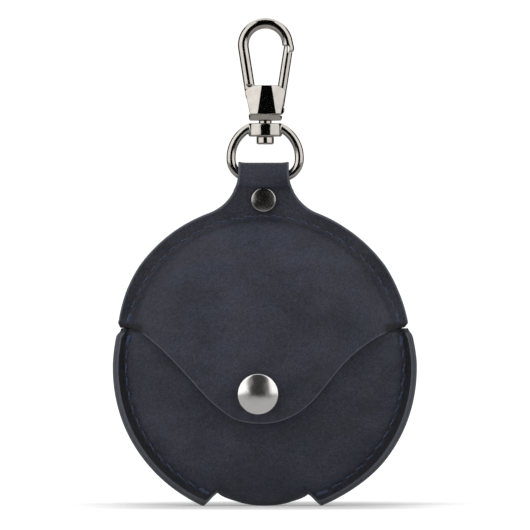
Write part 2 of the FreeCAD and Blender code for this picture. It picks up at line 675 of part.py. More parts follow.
def gate():
    """Sprung gate: rod with a pivot eye below and a half-lap tip behind the nose."""
    along = GATE_TOP - PIVOT
    rod = cylinder(GATE_R, PIVOT, along, along.Length + 3)
    rod = rod.common(below(GATE_STEP_Z))
    rod = rod.cut(box(CROWN_R + 0.1, 12, -5, 5, GATE_TOP.z, 100))
    eye = cylinder(1.55, PIVOT - V(0, GATE_R + 0.02, 0), Y_AXIS, 2 * GATE_R + 0.04)
    return rod.fuse(eye).cut(cylinder(PIN_R + 0.05, PIVOT - V(0, 3, 0), Y_AXIS, 6))


def gate_pin():
    return cylinder(PIN_R, V(PIVOT.x, LOOP_Y - 2.35, PIVOT.z), Y_AXIS, 4.7)


def gate_spring():
    """Compression coil that pushes the gate shut, lying across the housing."""
    length = 4.6
    turns = 6
    helix = Part.makeHelix(length / turns, length, SPRING_R)
    start = V(SPRING_R, 0, 0)
    section = Part.Wire(Part.makeCircle(SPRING_WIRE_R, start, V(0, 1, length / turns / 6.28)))
    coil = as_solid(Part.Wire(helix.Edges).makePipeShell([section], True, True))
    coil.rotate(CENTRE, Y_AXIS, 90)
    coil.translate(V(-2.2, LOOP_Y, SPRING_Z))
    return coil


def swivel_stud():
    """Headed stud: pressed into the housing, running in the block of the swivel eye."""
    head = cylinder(STUD_HEAD_R, V(0, LOOP_Y, STUD_HEAD_Z[0]), Z_AXIS,
                    STUD_HEAD_Z[1] - STUD_HEAD_Z[0])
    head = soften(head, [e for e in head.Edges if e.CenterOfMass.z < STUD_HEAD_Z[0] + 0.1], 0.45)
    neck = cylinder(STUD_NECK_R, V(0, LOOP_Y, STUD_HEAD_Z[1] - 0.01), Z_AXIS,
                    COLLAR_LOW_Z - STUD_HEAD_Z[1] + 0.01)
    shank = cylinder(STUD_SHANK_R, V(0, LOOP_Y, COLLAR_LOW_Z - 0.01), Z_AXIS, 3.0)
    return head.fuse([neck, shank]).removeSplitter()


def swivel_eye():
    """Ring and block in one casting: round above, flattened below for the leather tab."""
    enter = 68.0
    corner_x = RING_R - RING_CORNER_R
    corner_z = LOOP_Z + RING_CORNER_R
    path = [
        arc_xz(0, RING_Z, RING_R, 180 - enter, 180),
        Part.makeLine(V(-RING_R, LOOP_Y, RING_Z), V(-RING_R, LOOP_Y, corner_z)),
        arc_xz(-corner_x, corner_z, RING_CORNER_R, 180, 270),
        Part.makeLine(V(-corner_x, LOOP_Y, LOOP_Z), V(corner_x, LOOP_Y, LOOP_Z)),
        arc_xz(corner_x, corner_z, RING_CORNER_R, 270, 360),
        Part.makeLine(V(RING_R, LOOP_Y, corner_z), V(RING_R, LOOP_Y, RING_Z)),
        arc_xz(0, RING_Z, RING_R, 0, enter),
    ]
    ring = wire_pipe(path, RING_WIRE_R)
    block = ellipse_prism(BLOCK_HALF[0], BLOCK_HALF[1], BLOCK_Z[0], BLOCK_Z[1])
    block = soften(block, block.Edges, 0.45)
    bore = cylinder(STUD_NECK_R + 0.06, V(0, LOOP_Y, 60), Z_AXIS, 15)
    return block.fuse(ring).cut(bore).removeSplitter()


# ---- everything ------------------------------------------------------------------------------
PARTS = {
    "cap_front_panel": cap_front_panel,
    "cap_back_panel": cap_back_panel,
    "hanger_loop": hanger_loop,
    "tongue_root": tongue_root,
    "flap_tongue": flap_tongue,
    "pocket_front_panel": pocket_front_panel,
    "pocket_back_panel": lambda: pocket_panel(POCKET_BACK),
    "bottom_fold": bottom_fold,
    "cap_seam_thread": cap_seam_thread,
    "pocket_seam_thread_right": lambda: pocket_seam_thread(True),
    "pocket_seam_thread_left": lambda: pocket_seam_thread(False),
    "rivet_front": rivet_front,
    "rivet_back": rivet_back,
    "snap_cap": snap_cap,
    "snap_socket": snap_socket,
    "snap_spring": snap_spring,
    "snap_stud": snap_stud,
    "snap_post": snap_post,
    "hook_body": hook_body,
    "gate": gate,
    "gate_pin": gate_pin,
    "gate_spring": gate_spring,
    "swivel_stud": swivel_stud,
    "swivel_eye": swivel_eye,
}

os.makedirs("parts", exist_ok=True)
for name, build in PARTS.items():
    shape = build()
    if not shape.isValid():
        print("not valid:", name)
    shape.translate(HANG * -1)
    shape.exportStep("parts/" + name + ".step")
    print(name, "solids", len(shape.Solids), "volume", round(shape.Volume, 2))
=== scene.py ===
"""Looks for the round leather earbuds pouch: leather sheets, stitches, snap, rivet and swivel hook.

Shapes are worked out in millimetres about the pocket's centre, with z up and the front at -y, and
moved to the row frame in metres by place().
"""
import bpy
import bmesh
import random
from math import acos, asin, atan2, cos, degrees, exp, hypot, pi, radians, sin, sqrt
import numpy as np
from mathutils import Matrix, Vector, noise
from mathutils.geometry import delaunay_2d_cdt


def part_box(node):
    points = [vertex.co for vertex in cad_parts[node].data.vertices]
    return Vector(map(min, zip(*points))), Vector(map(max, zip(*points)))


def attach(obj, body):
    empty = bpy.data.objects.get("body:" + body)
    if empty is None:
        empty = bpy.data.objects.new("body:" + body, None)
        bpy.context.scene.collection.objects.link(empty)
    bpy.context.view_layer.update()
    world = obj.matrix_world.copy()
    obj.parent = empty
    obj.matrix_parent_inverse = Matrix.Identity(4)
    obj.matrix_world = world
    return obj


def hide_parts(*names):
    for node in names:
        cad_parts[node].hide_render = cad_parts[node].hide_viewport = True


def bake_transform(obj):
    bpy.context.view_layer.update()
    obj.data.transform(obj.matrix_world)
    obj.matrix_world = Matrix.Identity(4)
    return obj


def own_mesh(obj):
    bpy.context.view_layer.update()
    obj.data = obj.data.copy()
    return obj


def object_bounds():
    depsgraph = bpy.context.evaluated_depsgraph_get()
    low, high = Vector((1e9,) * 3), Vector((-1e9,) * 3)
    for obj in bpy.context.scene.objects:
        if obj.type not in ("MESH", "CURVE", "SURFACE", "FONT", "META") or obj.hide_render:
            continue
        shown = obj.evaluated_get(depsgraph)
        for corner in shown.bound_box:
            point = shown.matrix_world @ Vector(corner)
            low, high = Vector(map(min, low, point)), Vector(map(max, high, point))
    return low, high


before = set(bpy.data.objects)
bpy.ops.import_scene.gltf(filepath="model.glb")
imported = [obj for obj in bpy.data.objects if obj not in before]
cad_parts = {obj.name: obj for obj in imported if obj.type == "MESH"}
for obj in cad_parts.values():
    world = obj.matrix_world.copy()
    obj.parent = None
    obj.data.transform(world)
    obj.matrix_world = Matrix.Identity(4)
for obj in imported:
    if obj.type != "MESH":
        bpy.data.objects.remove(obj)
CAD_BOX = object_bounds()
random.seed(11)

MM = 0.001
HANG = np.array([0.0, 0.7, 97.9])      # the hook's inner crown, measured from the pocket's centre

LEATHER = 1.4
SEAM_R = 40.4
RIM_R = 44.0
CAP_Z = 3.3
POCKET_RIM = 4.0                       # width of the pocket's leaning rim
SLIT_Z = 11.0
CAP_CUT_Z = 11.15                      # the back's slit, almost closed
POCKET_CUT_Z = {-1: 10.8, 1: 11.03}    # front, back
TAB_HALF = 7.35
NECK_FILLET = 13.0
RIVET_Z = 48.15
LOOP_Z = 54.75
LOOP_Y = 0.7
LOOP_R = 2.9
TAB_SPLIT_Z = 51.6
BACK_TOP_Z = TAB_SPLIT_Z - 0.4
TAIL_TOP_Z = 45.3
TAIL_Z = 43.3
TAIL_LEAN = radians(60)
TAIL_CORNER = 2.2
SNAP_X, SNAP_Z = -2.0, -7.9
NOTCH = radians(20.6)
FOLD_R = 36.5
FOLD_LOW_R = 40.5
HINGE_HALF = 24.0
HINGE_TOP, HINGE_LOW = 13.0, 9.0
NOTCH_PULL = 2.1                       # how far the notches are drawn up
NOTCH_TURN = (-1.9, 0.1)               # degrees that the right and left sewn ends shift
STITCH_HALF = 1.42
THREAD_THICK, KNOT_THICK = 0.215, 0.27  # the rows' end stitches are doubled and stand prouder
CAP_SEAM = (12.5, 5.74, 27)            # first hole's angle, step in degrees, stitches
POCKET_SEAM = (13.5, -5.75, 14)        # one side; the other is its mirror
CAP_LEAN = 0.42                        # the sewn cap and pocket sit a little off the hook's line
POCKET_LEAN = 0.05
CAP_DRAW = 1.2                         # how far the stitches draw the front in at the seam


def place(points):
    return (np.asarray(points, float) - HANG) * MM


# ---- dome profiles ----
class Dome:
    """Inner and outer curves of a puffed disc, from its middle to its cut edge, by one radius rho."""

    def __init__(self, depth, crown, shoulder, tilt=0.0, rim=3.6, back=False, lift=0.0, reach=None):
        depth -= lift
        a = crown - shoulder
        p, q = -2 * a * SEAM_R, 2 * a * (depth - crown)
        s = shoulder ** 2 - a ** 2 - SEAM_R ** 2 - (depth - crown) ** 2
        swing = acos(s / hypot(p, q))
        meet = min((atan2(p, q) + k * swing) % (2 * pi) for k in (1, -1))
        cx, cd = a * sin(meet), depth - crown + a * cos(meet)
        tilt = radians(tilt)
        ur, ud = cos(tilt), sin(tilt)
        nr, nd = -ud, ur
        qr, qd = SEAM_R + LEATHER * nr, LEATHER * nd
        out = shoulder + LEATHER
        b = ur * (qr - cx) + ud * (qd - cd)
        c = (qr - cx) ** 2 + (qd - cd) ** 2 - out ** 2
        lam = min((-b + sqrt(b * b - c), -b - sqrt(b * b - c)), key=abs)
        start = (qr + lam * ur, qd + lam * ud)
        end_out = atan2(start[0] - cx, start[1] - cd)
        end_in = atan2(SEAM_R - cx, -cd)
        n = 160
        t = np.linspace(0, 1, n)
        rho_meet = SEAM_R * crown * meet / (crown * meet + shoulder * (end_in - meet))
        rim_t = t[1:]
        edge_in = (SEAM_R + rim * ur, rim * ud)
        edge_out = (edge_in[0] + LEATHER * nr, edge_in[1] + LEATHER * nd)

        def arcs(rc, rs, end):
            first = np.stack([rc * np.sin(t * meet), depth - crown + rc * np.cos(t * meet)], 1)
            angle = meet + (end - meet) * t[1:]
            second = np.stack([cx + rs * np.sin(angle), cd + rs * np.cos(angle)], 1)
            return np.concatenate([first, second])

        def line(p0, p1):
            return np.stack([p0[0] + (p1[0] - p0[0]) * rim_t, p0[1] + (p1[1] - p0[1]) * rim_t], 1)

        self.outer = np.concatenate([arcs(crown + LEATHER, out, end_out), line(start, edge_out)])
        self.inner = np.concatenate([arcs(crown, shoulder, end_in), line((SEAM_R, 0), edge_in)])
        self.rho = np.concatenate([rho_meet * t, rho_meet + (SEAM_R - rho_meet) * t[1:],
                                   SEAM_R + rim * rim_t])
        if reach:                       # a flat plate goes on beyond the rim
            self.rho = np.append(self.rho, reach)
            self.outer = np.vstack([self.outer, [reach, LEATHER]])
            self.inner = np.vstack([self.inner, [reach, 0.0]])
        corner = 2 * n - 2
        for _ in range(60):             # rounds the corner between dome and rim
            for curve in (self.outer, self.inner):
                part = curve[corner - 14:corner + 24]
                part[1:-1] = 0.5 * part[1:-1] + 0.25 * (part[:-2] + part[2:])
        self.outer[:, 1] += lift
        self.inner[:, 1] += lift
        self.side = 1.0 if back else -1.0

    def at(self, rho, curve):
        return np.interp(rho, self.rho, curve[:, 0]), np.interp(rho, self.rho, curve[:, 1])

    def rho_of(self, r):
        """rho of the outer face's point at radius r."""
        return np.interp(r, self.outer[:, 0], self.rho)

    def depth(self, r, curve):
        return np.interp(r, curve[:, 0], curve[:, 1])


CAP_FRONT = Dome(11.6, 130.0, 22.0, reach=60.0)
TONGUE = Dome(11.8, 150.0, 22.0, lift=1.5, reach=60.0)
CAP_BACK = Dome(13.85, 200.0, 16.0, back=True, reach=60.0)
POCKET_FRONT = Dome(7.6, 150.0, 30.0, tilt=37.0, rim=POCKET_RIM)
POCKET_BACK = Dome(14.0, 200.0, 16.0, tilt=-37.0, rim=POCKET_RIM, back=True)


def smooth(t):
    t = np.clip(t, 0, 1)
    return t * t * (3 - 2 * t)


def wander(points, size, seed):
    """Soft noise, about -1 to 1, over millimetre points."""
    shift = Vector((seed * 17.3, seed * 5.1, seed * 9.7))
    return np.array([noise.noise(Vector(p) / size + shift) for p in points])


# ---- sheets ----
def seg_distance(points, a, b):
    """Distance of each point to the nearest of the segments a-b."""
    best = np.full(len(points), 1e9)
    d = b - a
    ll = np.maximum((d * d).sum(1), 1e-12)
    for i in range(len(a)):
        t = np.clip(((points - a[i]) @ d[i]) / ll[i], 0, 1)
        near = a[i] + t[:, None] * d[i]
        best = np.minimum(best, ((points - near) ** 2).sum(1))
    return np.sqrt(best)


def inside(points, poly):
    x, y = points[:, 0], points[:, 1]
    hit = np.zeros(len(points), bool)
    for (x0, y0), (x1, y1) in zip(poly, np.roll(poly, -1, 0)):
        cross = (y0 > y) != (y1 > y)
        if y0 != y1:
            hit ^= cross & (x < (x1 - x0) * (y - y0) / (y1 - y0) + x0)
    return hit


def resample(points, step):
    points = np.asarray(points, float)
    length = np.concatenate([[0], np.cumsum(np.linalg.norm(np.diff(points, axis=0), axis=1))])
    n = max(1, int(round(length[-1] / step)))
    t = np.linspace(0, length[-1], n + 1)
    return np.stack([np.interp(t, length, points[:, k]) for k in (0, 1)], 1)


def outline(pieces, step=0.5):
    """Closed outline from (points, is a cut edge) runs; returns points and a flag per segment."""
    pts, flags = [], []
    for run, real, *keep in pieces:
        run = np.asarray(run, float) if keep else resample(run, step)
        pts.append(run[:-1])
        flags += [real] * (len(run) - 1)
    return np.concatenate(pts), np.array(flags)


ROUND_OUT = 0.6         # widest bevel of the cut edge on the outer side
ROUND_IN = 0.2
DROP_SHARE = 0.85       # the bevel is a little flatter than a quarter circle
INSETS = (0.05, 0.12, 0.21, 0.32, 0.45, 0.6, 0.76)


def slit_shadow(x, z, low, high):
    """1 away from the slits' cut edges beside the seam, 0 on them, where the edges are painted in shade
    instead of wear.
    """
    return 1 - smooth((np.abs(x) - 34) / 2) * smooth((42.2 - np.abs(x)) / 0.5) * smooth((z - low) / 0.5) \
        * smooth((high - z) / 0.5)


def front_bevel(flat):
    """Bevel width, and wear that gives way to painted shade at the slits: fine on the tongue, wider round
    the cap and widest on the neck.
    """
    x, z = flat.T
    wide = 0.3 + 0.16 * smooth((z - 10) / 6) + 0.14 * smooth((z - 38) / 8)
    return wide, slit_shadow(x, z, 9.2, 12.6)


def rim_bevel(flat):
    x, z = flat.T
    return np.full(len(flat), 0.22), slit_shadow(x, z, 9.6, 14)


def back_bevel(flat):
    x, z = flat.T
    return 0.4 + 0.14 * smooth((z - 38) / 8), np.ones(len(flat))


def fill_points(centre, outer_radius=SEAM_R + 3.6):
    """Rings of points about centre, closer together by the seam."""
    radii = np.concatenate([np.arange(1.2, 34.0, 1.25), np.arange(34.0, 38.6, 0.7),
                            np.arange(38.6, 42.2, 0.3), np.arange(42.3, outer_radius, 0.5)])
    pts = []
    for i, radius in enumerate(radii):
        n = max(6, int(2 * pi * radius / (1.3 if radius < 34 else 0.75)))
        a = (np.arange(n) + 0.5 * (i % 2)) * 2 * pi / n
        pts.append(np.stack([centre[0] + radius * np.cos(a), centre[1] + radius * np.sin(a)], 1))
    return np.concatenate(pts)


def cap_fill(low, high):
    """Points inside the cap, and on the neck between the heights low and high."""
    neck = np.meshgrid(np.arange(-16, 16.1, 0.9), np.arange(low, high, 0.8))
    return np.concatenate([fill_points((0.0, CAP_Z)), np.stack(neck, -1).reshape(-1, 2)])


def sheet(pts, real, fill, mapping, side, painted_shade, bevel):
    """Thick sheet from an outline in the plane: mapping(p) gives inner and outer points.

    Returns vertices, faces, face kinds (0 outer, 1 inner, 2 edge), and wear and painted shade per vertex.
    """
    nxt = np.roll(pts, -1, 0)
    tangent = nxt - pts
    tangent /= np.maximum(np.linalg.norm(tangent, axis=1), 1e-9)[:, None]
    area = 0.5 * np.sum(pts[:, 0] * nxt[:, 1] - nxt[:, 0] * pts[:, 1])
    turn = 1.0 if area > 0 else -1.0
    normal = np.stack([-tangent[:, 1], tangent[:, 0]], 1) * turn
    mids = (pts + nxt) / 2
    rows = [mids[real] + normal[real] * e for e in INSETS]
    extra = np.concatenate(rows + [fill])
    keep = inside(extra, pts)
    extra = extra[keep]
    count_rows = int(keep[:sum(len(r) for r in rows)].sum())
    gap = seg_distance(extra, pts, nxt)
    ok = gap > 0.035
    ok[count_rows:] &= gap[count_rows:] > 0.68
    extra = extra[ok]
    every = np.concatenate([pts, extra])
    loop = list(range(len(pts)))
    if turn < 0:
        loop.reverse()
    found = delaunay_2d_cdt([Vector(p) for p in every], [], [loop], 1, 1e-6)
    flat = np.array([tuple(v) for v in found[0]])
    tris = [list(f) for f in found[2]]
    origin = found[3]
    inner, outer = mapping(flat)
    e = seg_distance(flat, pts[real], nxt[real])
    wide, wear_and_slit_shade = bevel(flat)
    drop, rise = bevel_drop(e, wide) * DROP_SHARE, bevel_drop(e, ROUND_IN)
    across = outer - inner
    top = inner + across * (1 - drop / LEATHER)[:, None]
    low = inner + across * (rise / LEATHER)[:, None]
    wear = np.clip((wide + 0.1 - e) / 0.16, 0, 1) * wear_and_slit_shade
    n = len(flat)
    faces, kinds = [], []
    for f in tris:
        a, b, c = (flat[i] for i in f)
        if (b[0] - a[0]) * (c[1] - a[1]) - (b[1] - a[1]) * (c[0] - a[0]) < 0:
            f = f[::-1]
        front = f if side < 0 else f[::-1]
        faces += [front, [i + n for i in front[::-1]]]
        kinds += [0, 1]
    where = {}
    for i, sources in enumerate(origin):
        for s in sources:
            if s < len(pts):
                where[s] = i
    band = {}
    mid_points = []
    for i in range(len(pts)):
        if not real[i]:
            continue
        ends = []
        for k in (i, (i + 1) % len(pts)):
            v = where[k]
            if v not in band:
                band[v] = 2 * n + len(mid_points)
                mid_points.append(0.5 * (top[v] + low[v]))
            ends.append((v, band[v], v + n))
        (a0, a1, a2), (b0, b1, b2) = ends
        faces += [[a0, b0, b1, a1], [a1, b1, b2, a2]]
        kinds += [2, 2]
    rim_wear_and_shade = np.zeros(len(mid_points))
    for v, i in band.items():
        rim_wear_and_shade[i - 2 * n] = wear_and_slit_shade[v]
    wear = np.concatenate([wear, wear, rim_wear_and_shade])
    dark = np.zeros(len(wear))
    # painted shade on the faces: along the seam, on the rim and at the slits' cut edges
    dark[:n] = np.maximum(painted_shade(flat), 1 - wear_and_slit_shade) * (1 - wear[:n])
    # the edge faces beside the slits are painted in shade
    dark[2 * n:] = 1 - rim_wear_and_shade
    return np.concatenate([top, low, mid_points]), faces, kinds, np.stack([wear, dark], 1)


def grid_faces(rows, cols, n, turned=False):
    """Quads of an outer grid and of the inner grid n vertices further on, with their kinds."""
    faces = []
    for i in range(rows - 1):
        for j in range(cols - 1):
            a, b, c, d = i * cols + j, i * cols + j + 1, (i + 1) * cols + j + 1, (i + 1) * cols + j
            if turned:
                b, d = d, b
            faces += [[a, b, c, d], [n + d, n + c, n + b, n + a]]
    return faces, [0, 1] * (len(faces) // 2)


def bevel_drop(e, wide):
    """How far an edge rounded to the width wide has dropped at the distance e from it."""
    return wide - np.sqrt(np.maximum(0, wide ** 2 - (wide - np.minimum(e, wide)) ** 2))


def leather_warp(points):
    """Sets the leather as far off the hook's line as it hangs at each height."""
    knots = (-45, 2, 9, 12, 22, 40, 47, 54)
    shift = (POCKET_LEAN, POCKET_LEAN, 0.15, 0.48, 0.74, 0.78, CAP_LEAN, CAP_LEAN)
    points[:, 0] -= np.interp(points[:, 2], knots, shift)
    return points


def pocket_warp(points):
    """Draws the sewn ends beside the bottom fold inwards, so the fold hangs as a rounded tongue."""
    x, z = points[:, 0].copy(), points[:, 2].copy()
    r = np.hypot(x, z)
    phi = np.degrees(np.arctan2(x, -z))
    near = np.clip((r - 24) / 10, 0, 1) * np.exp(-((np.abs(phi) - 20) / 11) ** 2)
    turned = phi + np.where(phi > 0, *NOTCH_TURN) * smooth(near)
    u = np.abs(phi) / degrees(NOTCH)
    pull = np.where(u < 1, u ** 3, smooth(1 - (u - 1) / 0.17))
    r = r - NOTCH_PULL * pull * smooth((r - 32) / 8)
    a = np.radians(turned)
    points[:, 0], points[:, 2] = r * np.sin(a), -r * np.cos(a)
    return leather_warp(points)


def new_object(name, data):
    obj = bpy.data.objects.new(name, data)
    bpy.context.collection.objects.link(obj)
    return obj


def only_material(mesh, mat):
    mesh.materials.clear()
    mesh.materials.append(mat)


def hand_over(obj, slot, body, *nodes):
    """Hides the CAD nodes that the piece stands for and sets it on the body that it rides; slot is not
    used.
    """
    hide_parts(*nodes)
    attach(obj, body)


def mesh_object(name, verts, faces, kinds=None, wear=None, mats=(), weld=0.0, warp=None):
    mesh = bpy.data.meshes.new(name)
    if warp:
        verts = warp(np.array(verts, float))
    mesh.from_pydata([tuple(v) for v in place(verts)], [], faces)
    for m in mats:
        mesh.materials.append(m)
    if kinds is not None:
        mesh.polygons.foreach_set("material_index", [min(k, len(mats) - 1) for k in kinds])
    if wear is not None:
        for k, label in enumerate(("wear", "shade")):
            values = np.ascontiguousarray(wear[:, k], np.float32)
            mesh.attributes.new(label, "FLOAT", "POINT").data.foreach_set("value", values)
    bm = bmesh.new()
    bm.from_mesh(mesh)
    if weld:
        bmesh.ops.remove_doubles(bm, verts=bm.verts, dist=weld * MM)
    bmesh.ops.recalc_face_normals(bm, faces=bm.faces)
    for f in bm.faces:
        f.smooth = True
    bm.to_mesh(mesh)
    bm.free()
    return new_object(name, mesh)


def joined(parts):
    """Adds up (verts, faces, kinds, wear and painted shade) lists into one."""
    verts, faces, kinds, wear, base = [], [], [], [], 0
    for v, f, k, w in parts:
        verts.append(v)
        faces += [[i + base for i in face] for face in f]
        kinds += list(k)
        wear.append(w)
        base += len(v)
    return np.concatenate(verts), faces, kinds, np.concatenate(wear)


# ---- surface relief ----
def pucker(rho, angle, seam, strength=0.15):
    """Small gathers that the stitches pull into the leather, and the groove that they lie in."""
    first, step, count = seam
    a = np.degrees(np.arctan2(np.sin(angle), np.abs(np.cos(angle))))
    turns = (a - first) / step
    wave = np.cos(2 * pi * turns) * (turns > -0.3) * (turns < count + 0.3)
    gather = strength * wave * np.exp(-((rho - SEAM_R + 0.5) / 1.2) ** 2)
    return gather - 0.16 * np.exp(-((rho - SEAM_R - 0.1) / 0.45) ** 2)


def relief(points, seed, amount=0.22):
    return amount * wander(points, 17.0, seed) + 0.35 * amount * wander(points, 6.5, seed + 3)


def polar_map(dome, centre_z, seed):
    seam = CAP_SEAM if dome is CAP_BACK else POCKET_SEAM

    def mapping(p):
        x, z = p[:, 0], p[:, 1] - centre_z
        rho, angle = np.hypot(x, z), np.arctan2(z, x)
        ri, di = dome.at(rho, dome.inner)
        ro, do = dome.at(rho, dome.outer)
        fade = smooth((SEAM_R - 1.0 - rho) / 6.0)
        wave = relief(np.stack([x, np.full_like(x, dome.side * 5), p[:, 1]], 1), seed) * fade
        do = do + pucker(rho, angle, seam) + wave
        di = di + wave
        return [np.stack([r * np.cos(angle), dome.side * d, centre_z + r * np.sin(angle)], 1)
                for r, d in ((ri, di), (ro, do))]
    return mapping


def to_plane(points, dome, centre_z):
    """From outer-face (x, z) points to the plane that polar_map takes."""
    points = np.asarray(points, float)
    x, z = points[:, 0], points[:, 1] - centre_z
    r, angle = np.hypot(x, z), np.arctan2(z, x)
    rho = dome.rho_of(r)
    return np.stack([rho * np.cos(angle), centre_z + rho * np.sin(angle)], 1)


# ---- leather outlines ----
def arc(cx, cz, radius, a0, a1, n=60):
    a = np.linspace(a0, a1, n)
    return np.stack([cx + radius * np.cos(a), cz + radius * np.sin(a)], 1)


FLARE_X = TAB_HALF + NECK_FILLET       # centre of the neck's concave flare
FLARE_Z = CAP_Z + sqrt((RIM_R + NECK_FILLET) ** 2 - FLARE_X ** 2)


def neck_side(sign, top_z):
    """From the cap's circle up the concave flare as far as top_z, as (x, z) points."""
    touch = atan2(FLARE_Z - CAP_Z, FLARE_X)
    flare = arc(FLARE_X, FLARE_Z, NECK_FILLET, touch + pi, pi, 30)
    flare = flare[flare[:, 1] <= top_z]
    return np.vstack([flare, [flare[-1, 0], top_z]]) * [sign, 1], touch


def cap_sides(top_z):
    """The cap's right edge, right neck, left neck and left edge, each upwards."""
    (right, touch), (left, _) = neck_side(1, top_z), neck_side(-1, top_z)
    return cap_rim(1, touch), right, left, cap_rim(-1, touch)


# Right and left: height where the round edge starts, then the cut corner's x and z.
CORNER_Z = {1: (12.5, 40.95, 11.3), -1: (12.7, 41.55, 11.1)}


def cap_rim(sign, touch):
    """The cap's edge from its cut corner up to the flare; towards the slit it draws in a little."""
    tip_z, corner_x, corner_z = CORNER_Z[sign]
    run = arc(0, CAP_Z, RIM_R, asin((tip_z - CAP_Z) / RIM_R), touch, 80)
    draw = np.clip((29 - run[:, 1]) / 17, 0, 1)
    run[:, 0] -= 1.05 * draw ** 0.9
    if sign < 0:
        run[0, 0] += 0.2                # a little spur of leather left by the cut
    return np.vstack([[corner_x, corner_z], run]) * [sign, 1]


def smooth_curve(nodes, n=24):
    """Catmull-Rom curve through a few shape points."""
    pts = np.asarray(nodes, float)
    ext = np.vstack([2 * pts[0] - pts[1], pts, 2 * pts[-1] - pts[-2]])
    out = []
    for i in range(1, len(ext) - 2):
        p0, p1, p2, p3 = ext[i - 1:i + 3]
        for t in np.linspace(0, 1, n, endpoint=False):
            out.append(0.5 * (2 * p1 + (p2 - p0) * t + (2 * p0 - 5 * p1 + 4 * p2 - p3) * t ** 2
                              + (3 * p1 - p0 - 3 * p2 + p3) * t ** 3))
    out.append(pts[-1])
    return np.array(out)


# Shape points of the hand-cut tongue, left to right, in millimetres.
TONGUE_EDGE = [(-41.55, 11.1), (-38.3, 10.75), (-35.3, 9.4), (-29.2, 4.3), (-22.6, -2.6), (-16.4, -9.4),
               (-10.4, -14.3), (-6.2, -16.0), (-1.4, -16.5), (3.2, -16.1), (7.2, -14.7), (10.4, -12.9),
               (14.9, -8.8), (22.6, 0.5), (27.4, 4.9), (33.2, 8.7), (37.8, 10.4), (40.95, 11.3)]


def drawn_in(r):
    return r + CAP_DRAW * smooth((r - 28) / 11)


def front_leather(split_xs):
    """Cap front, tongue and tab face as one height-field sheet, up to the tab's split where the loop and
    tail behind join it.
    """
    rim_right, right, left, rim_left = cap_sides(TAB_SPLIT_Z)
    pts, real = outline([
        (rim_right, True), (right, True),
        (np.stack([split_xs, np.full(len(split_xs), TAB_SPLIT_Z)], 1), False, "as it is"),
        (left[::-1], True), (rim_left[::-1], True), (smooth_curve(TONGUE_EDGE), True)])

    def mapping(p):
        x, z = p[:, 0], p[:, 1]
        rc, rt = drawn_in(np.hypot(x, z - CAP_Z)), np.hypot(x, z)
        angle = np.arctan2(z - CAP_Z, x)
        w = np.maximum(smooth((z - 4.0) / 9.0), smooth((rc - SEAM_R + 1.5) / 1.5))
        fade = smooth((SEAM_R - 0.8 - rc) / 6.0)
        tip = smooth((-z + 2) / 18) * 0.5
        wave = relief(np.stack([x, np.zeros_like(x), z], 1), 1, 0.26) * np.clip(fade - tip * 0.5, 0, 1)
        lip = 0.55 * np.exp(-((np.abs(x) - 33) / 6.0) ** 2) * smooth((11 - z) / 4) * (z < 11)
        di, do = (CAP_FRONT.depth(rc, cap) * w + TONGUE.depth(rt, tongue) * (1 - w) + wave - lip
                  for cap, tongue in ((CAP_FRONT.inner, TONGUE.inner), (CAP_FRONT.outer, TONGUE.outer)))
        dent = 0.22 * np.exp(-((np.hypot(x, z - RIVET_Z) - 3.9) / 0.9) ** 2)       # round the rivet
        do = do + pucker(rc, angle, CAP_SEAM) - dent * smooth((51.5 - z) / 1.2)
        return np.stack([x, -di, z], 1), np.stack([x, -do, z], 1)

    return pts, real, cap_fill(44.6, 51.4), mapping


def neck_half(z):
    """The neck's half width at a height."""
    return FLARE_X - sqrt(NECK_FILLET ** 2 - min(0.0, z - FLARE_Z) ** 2)


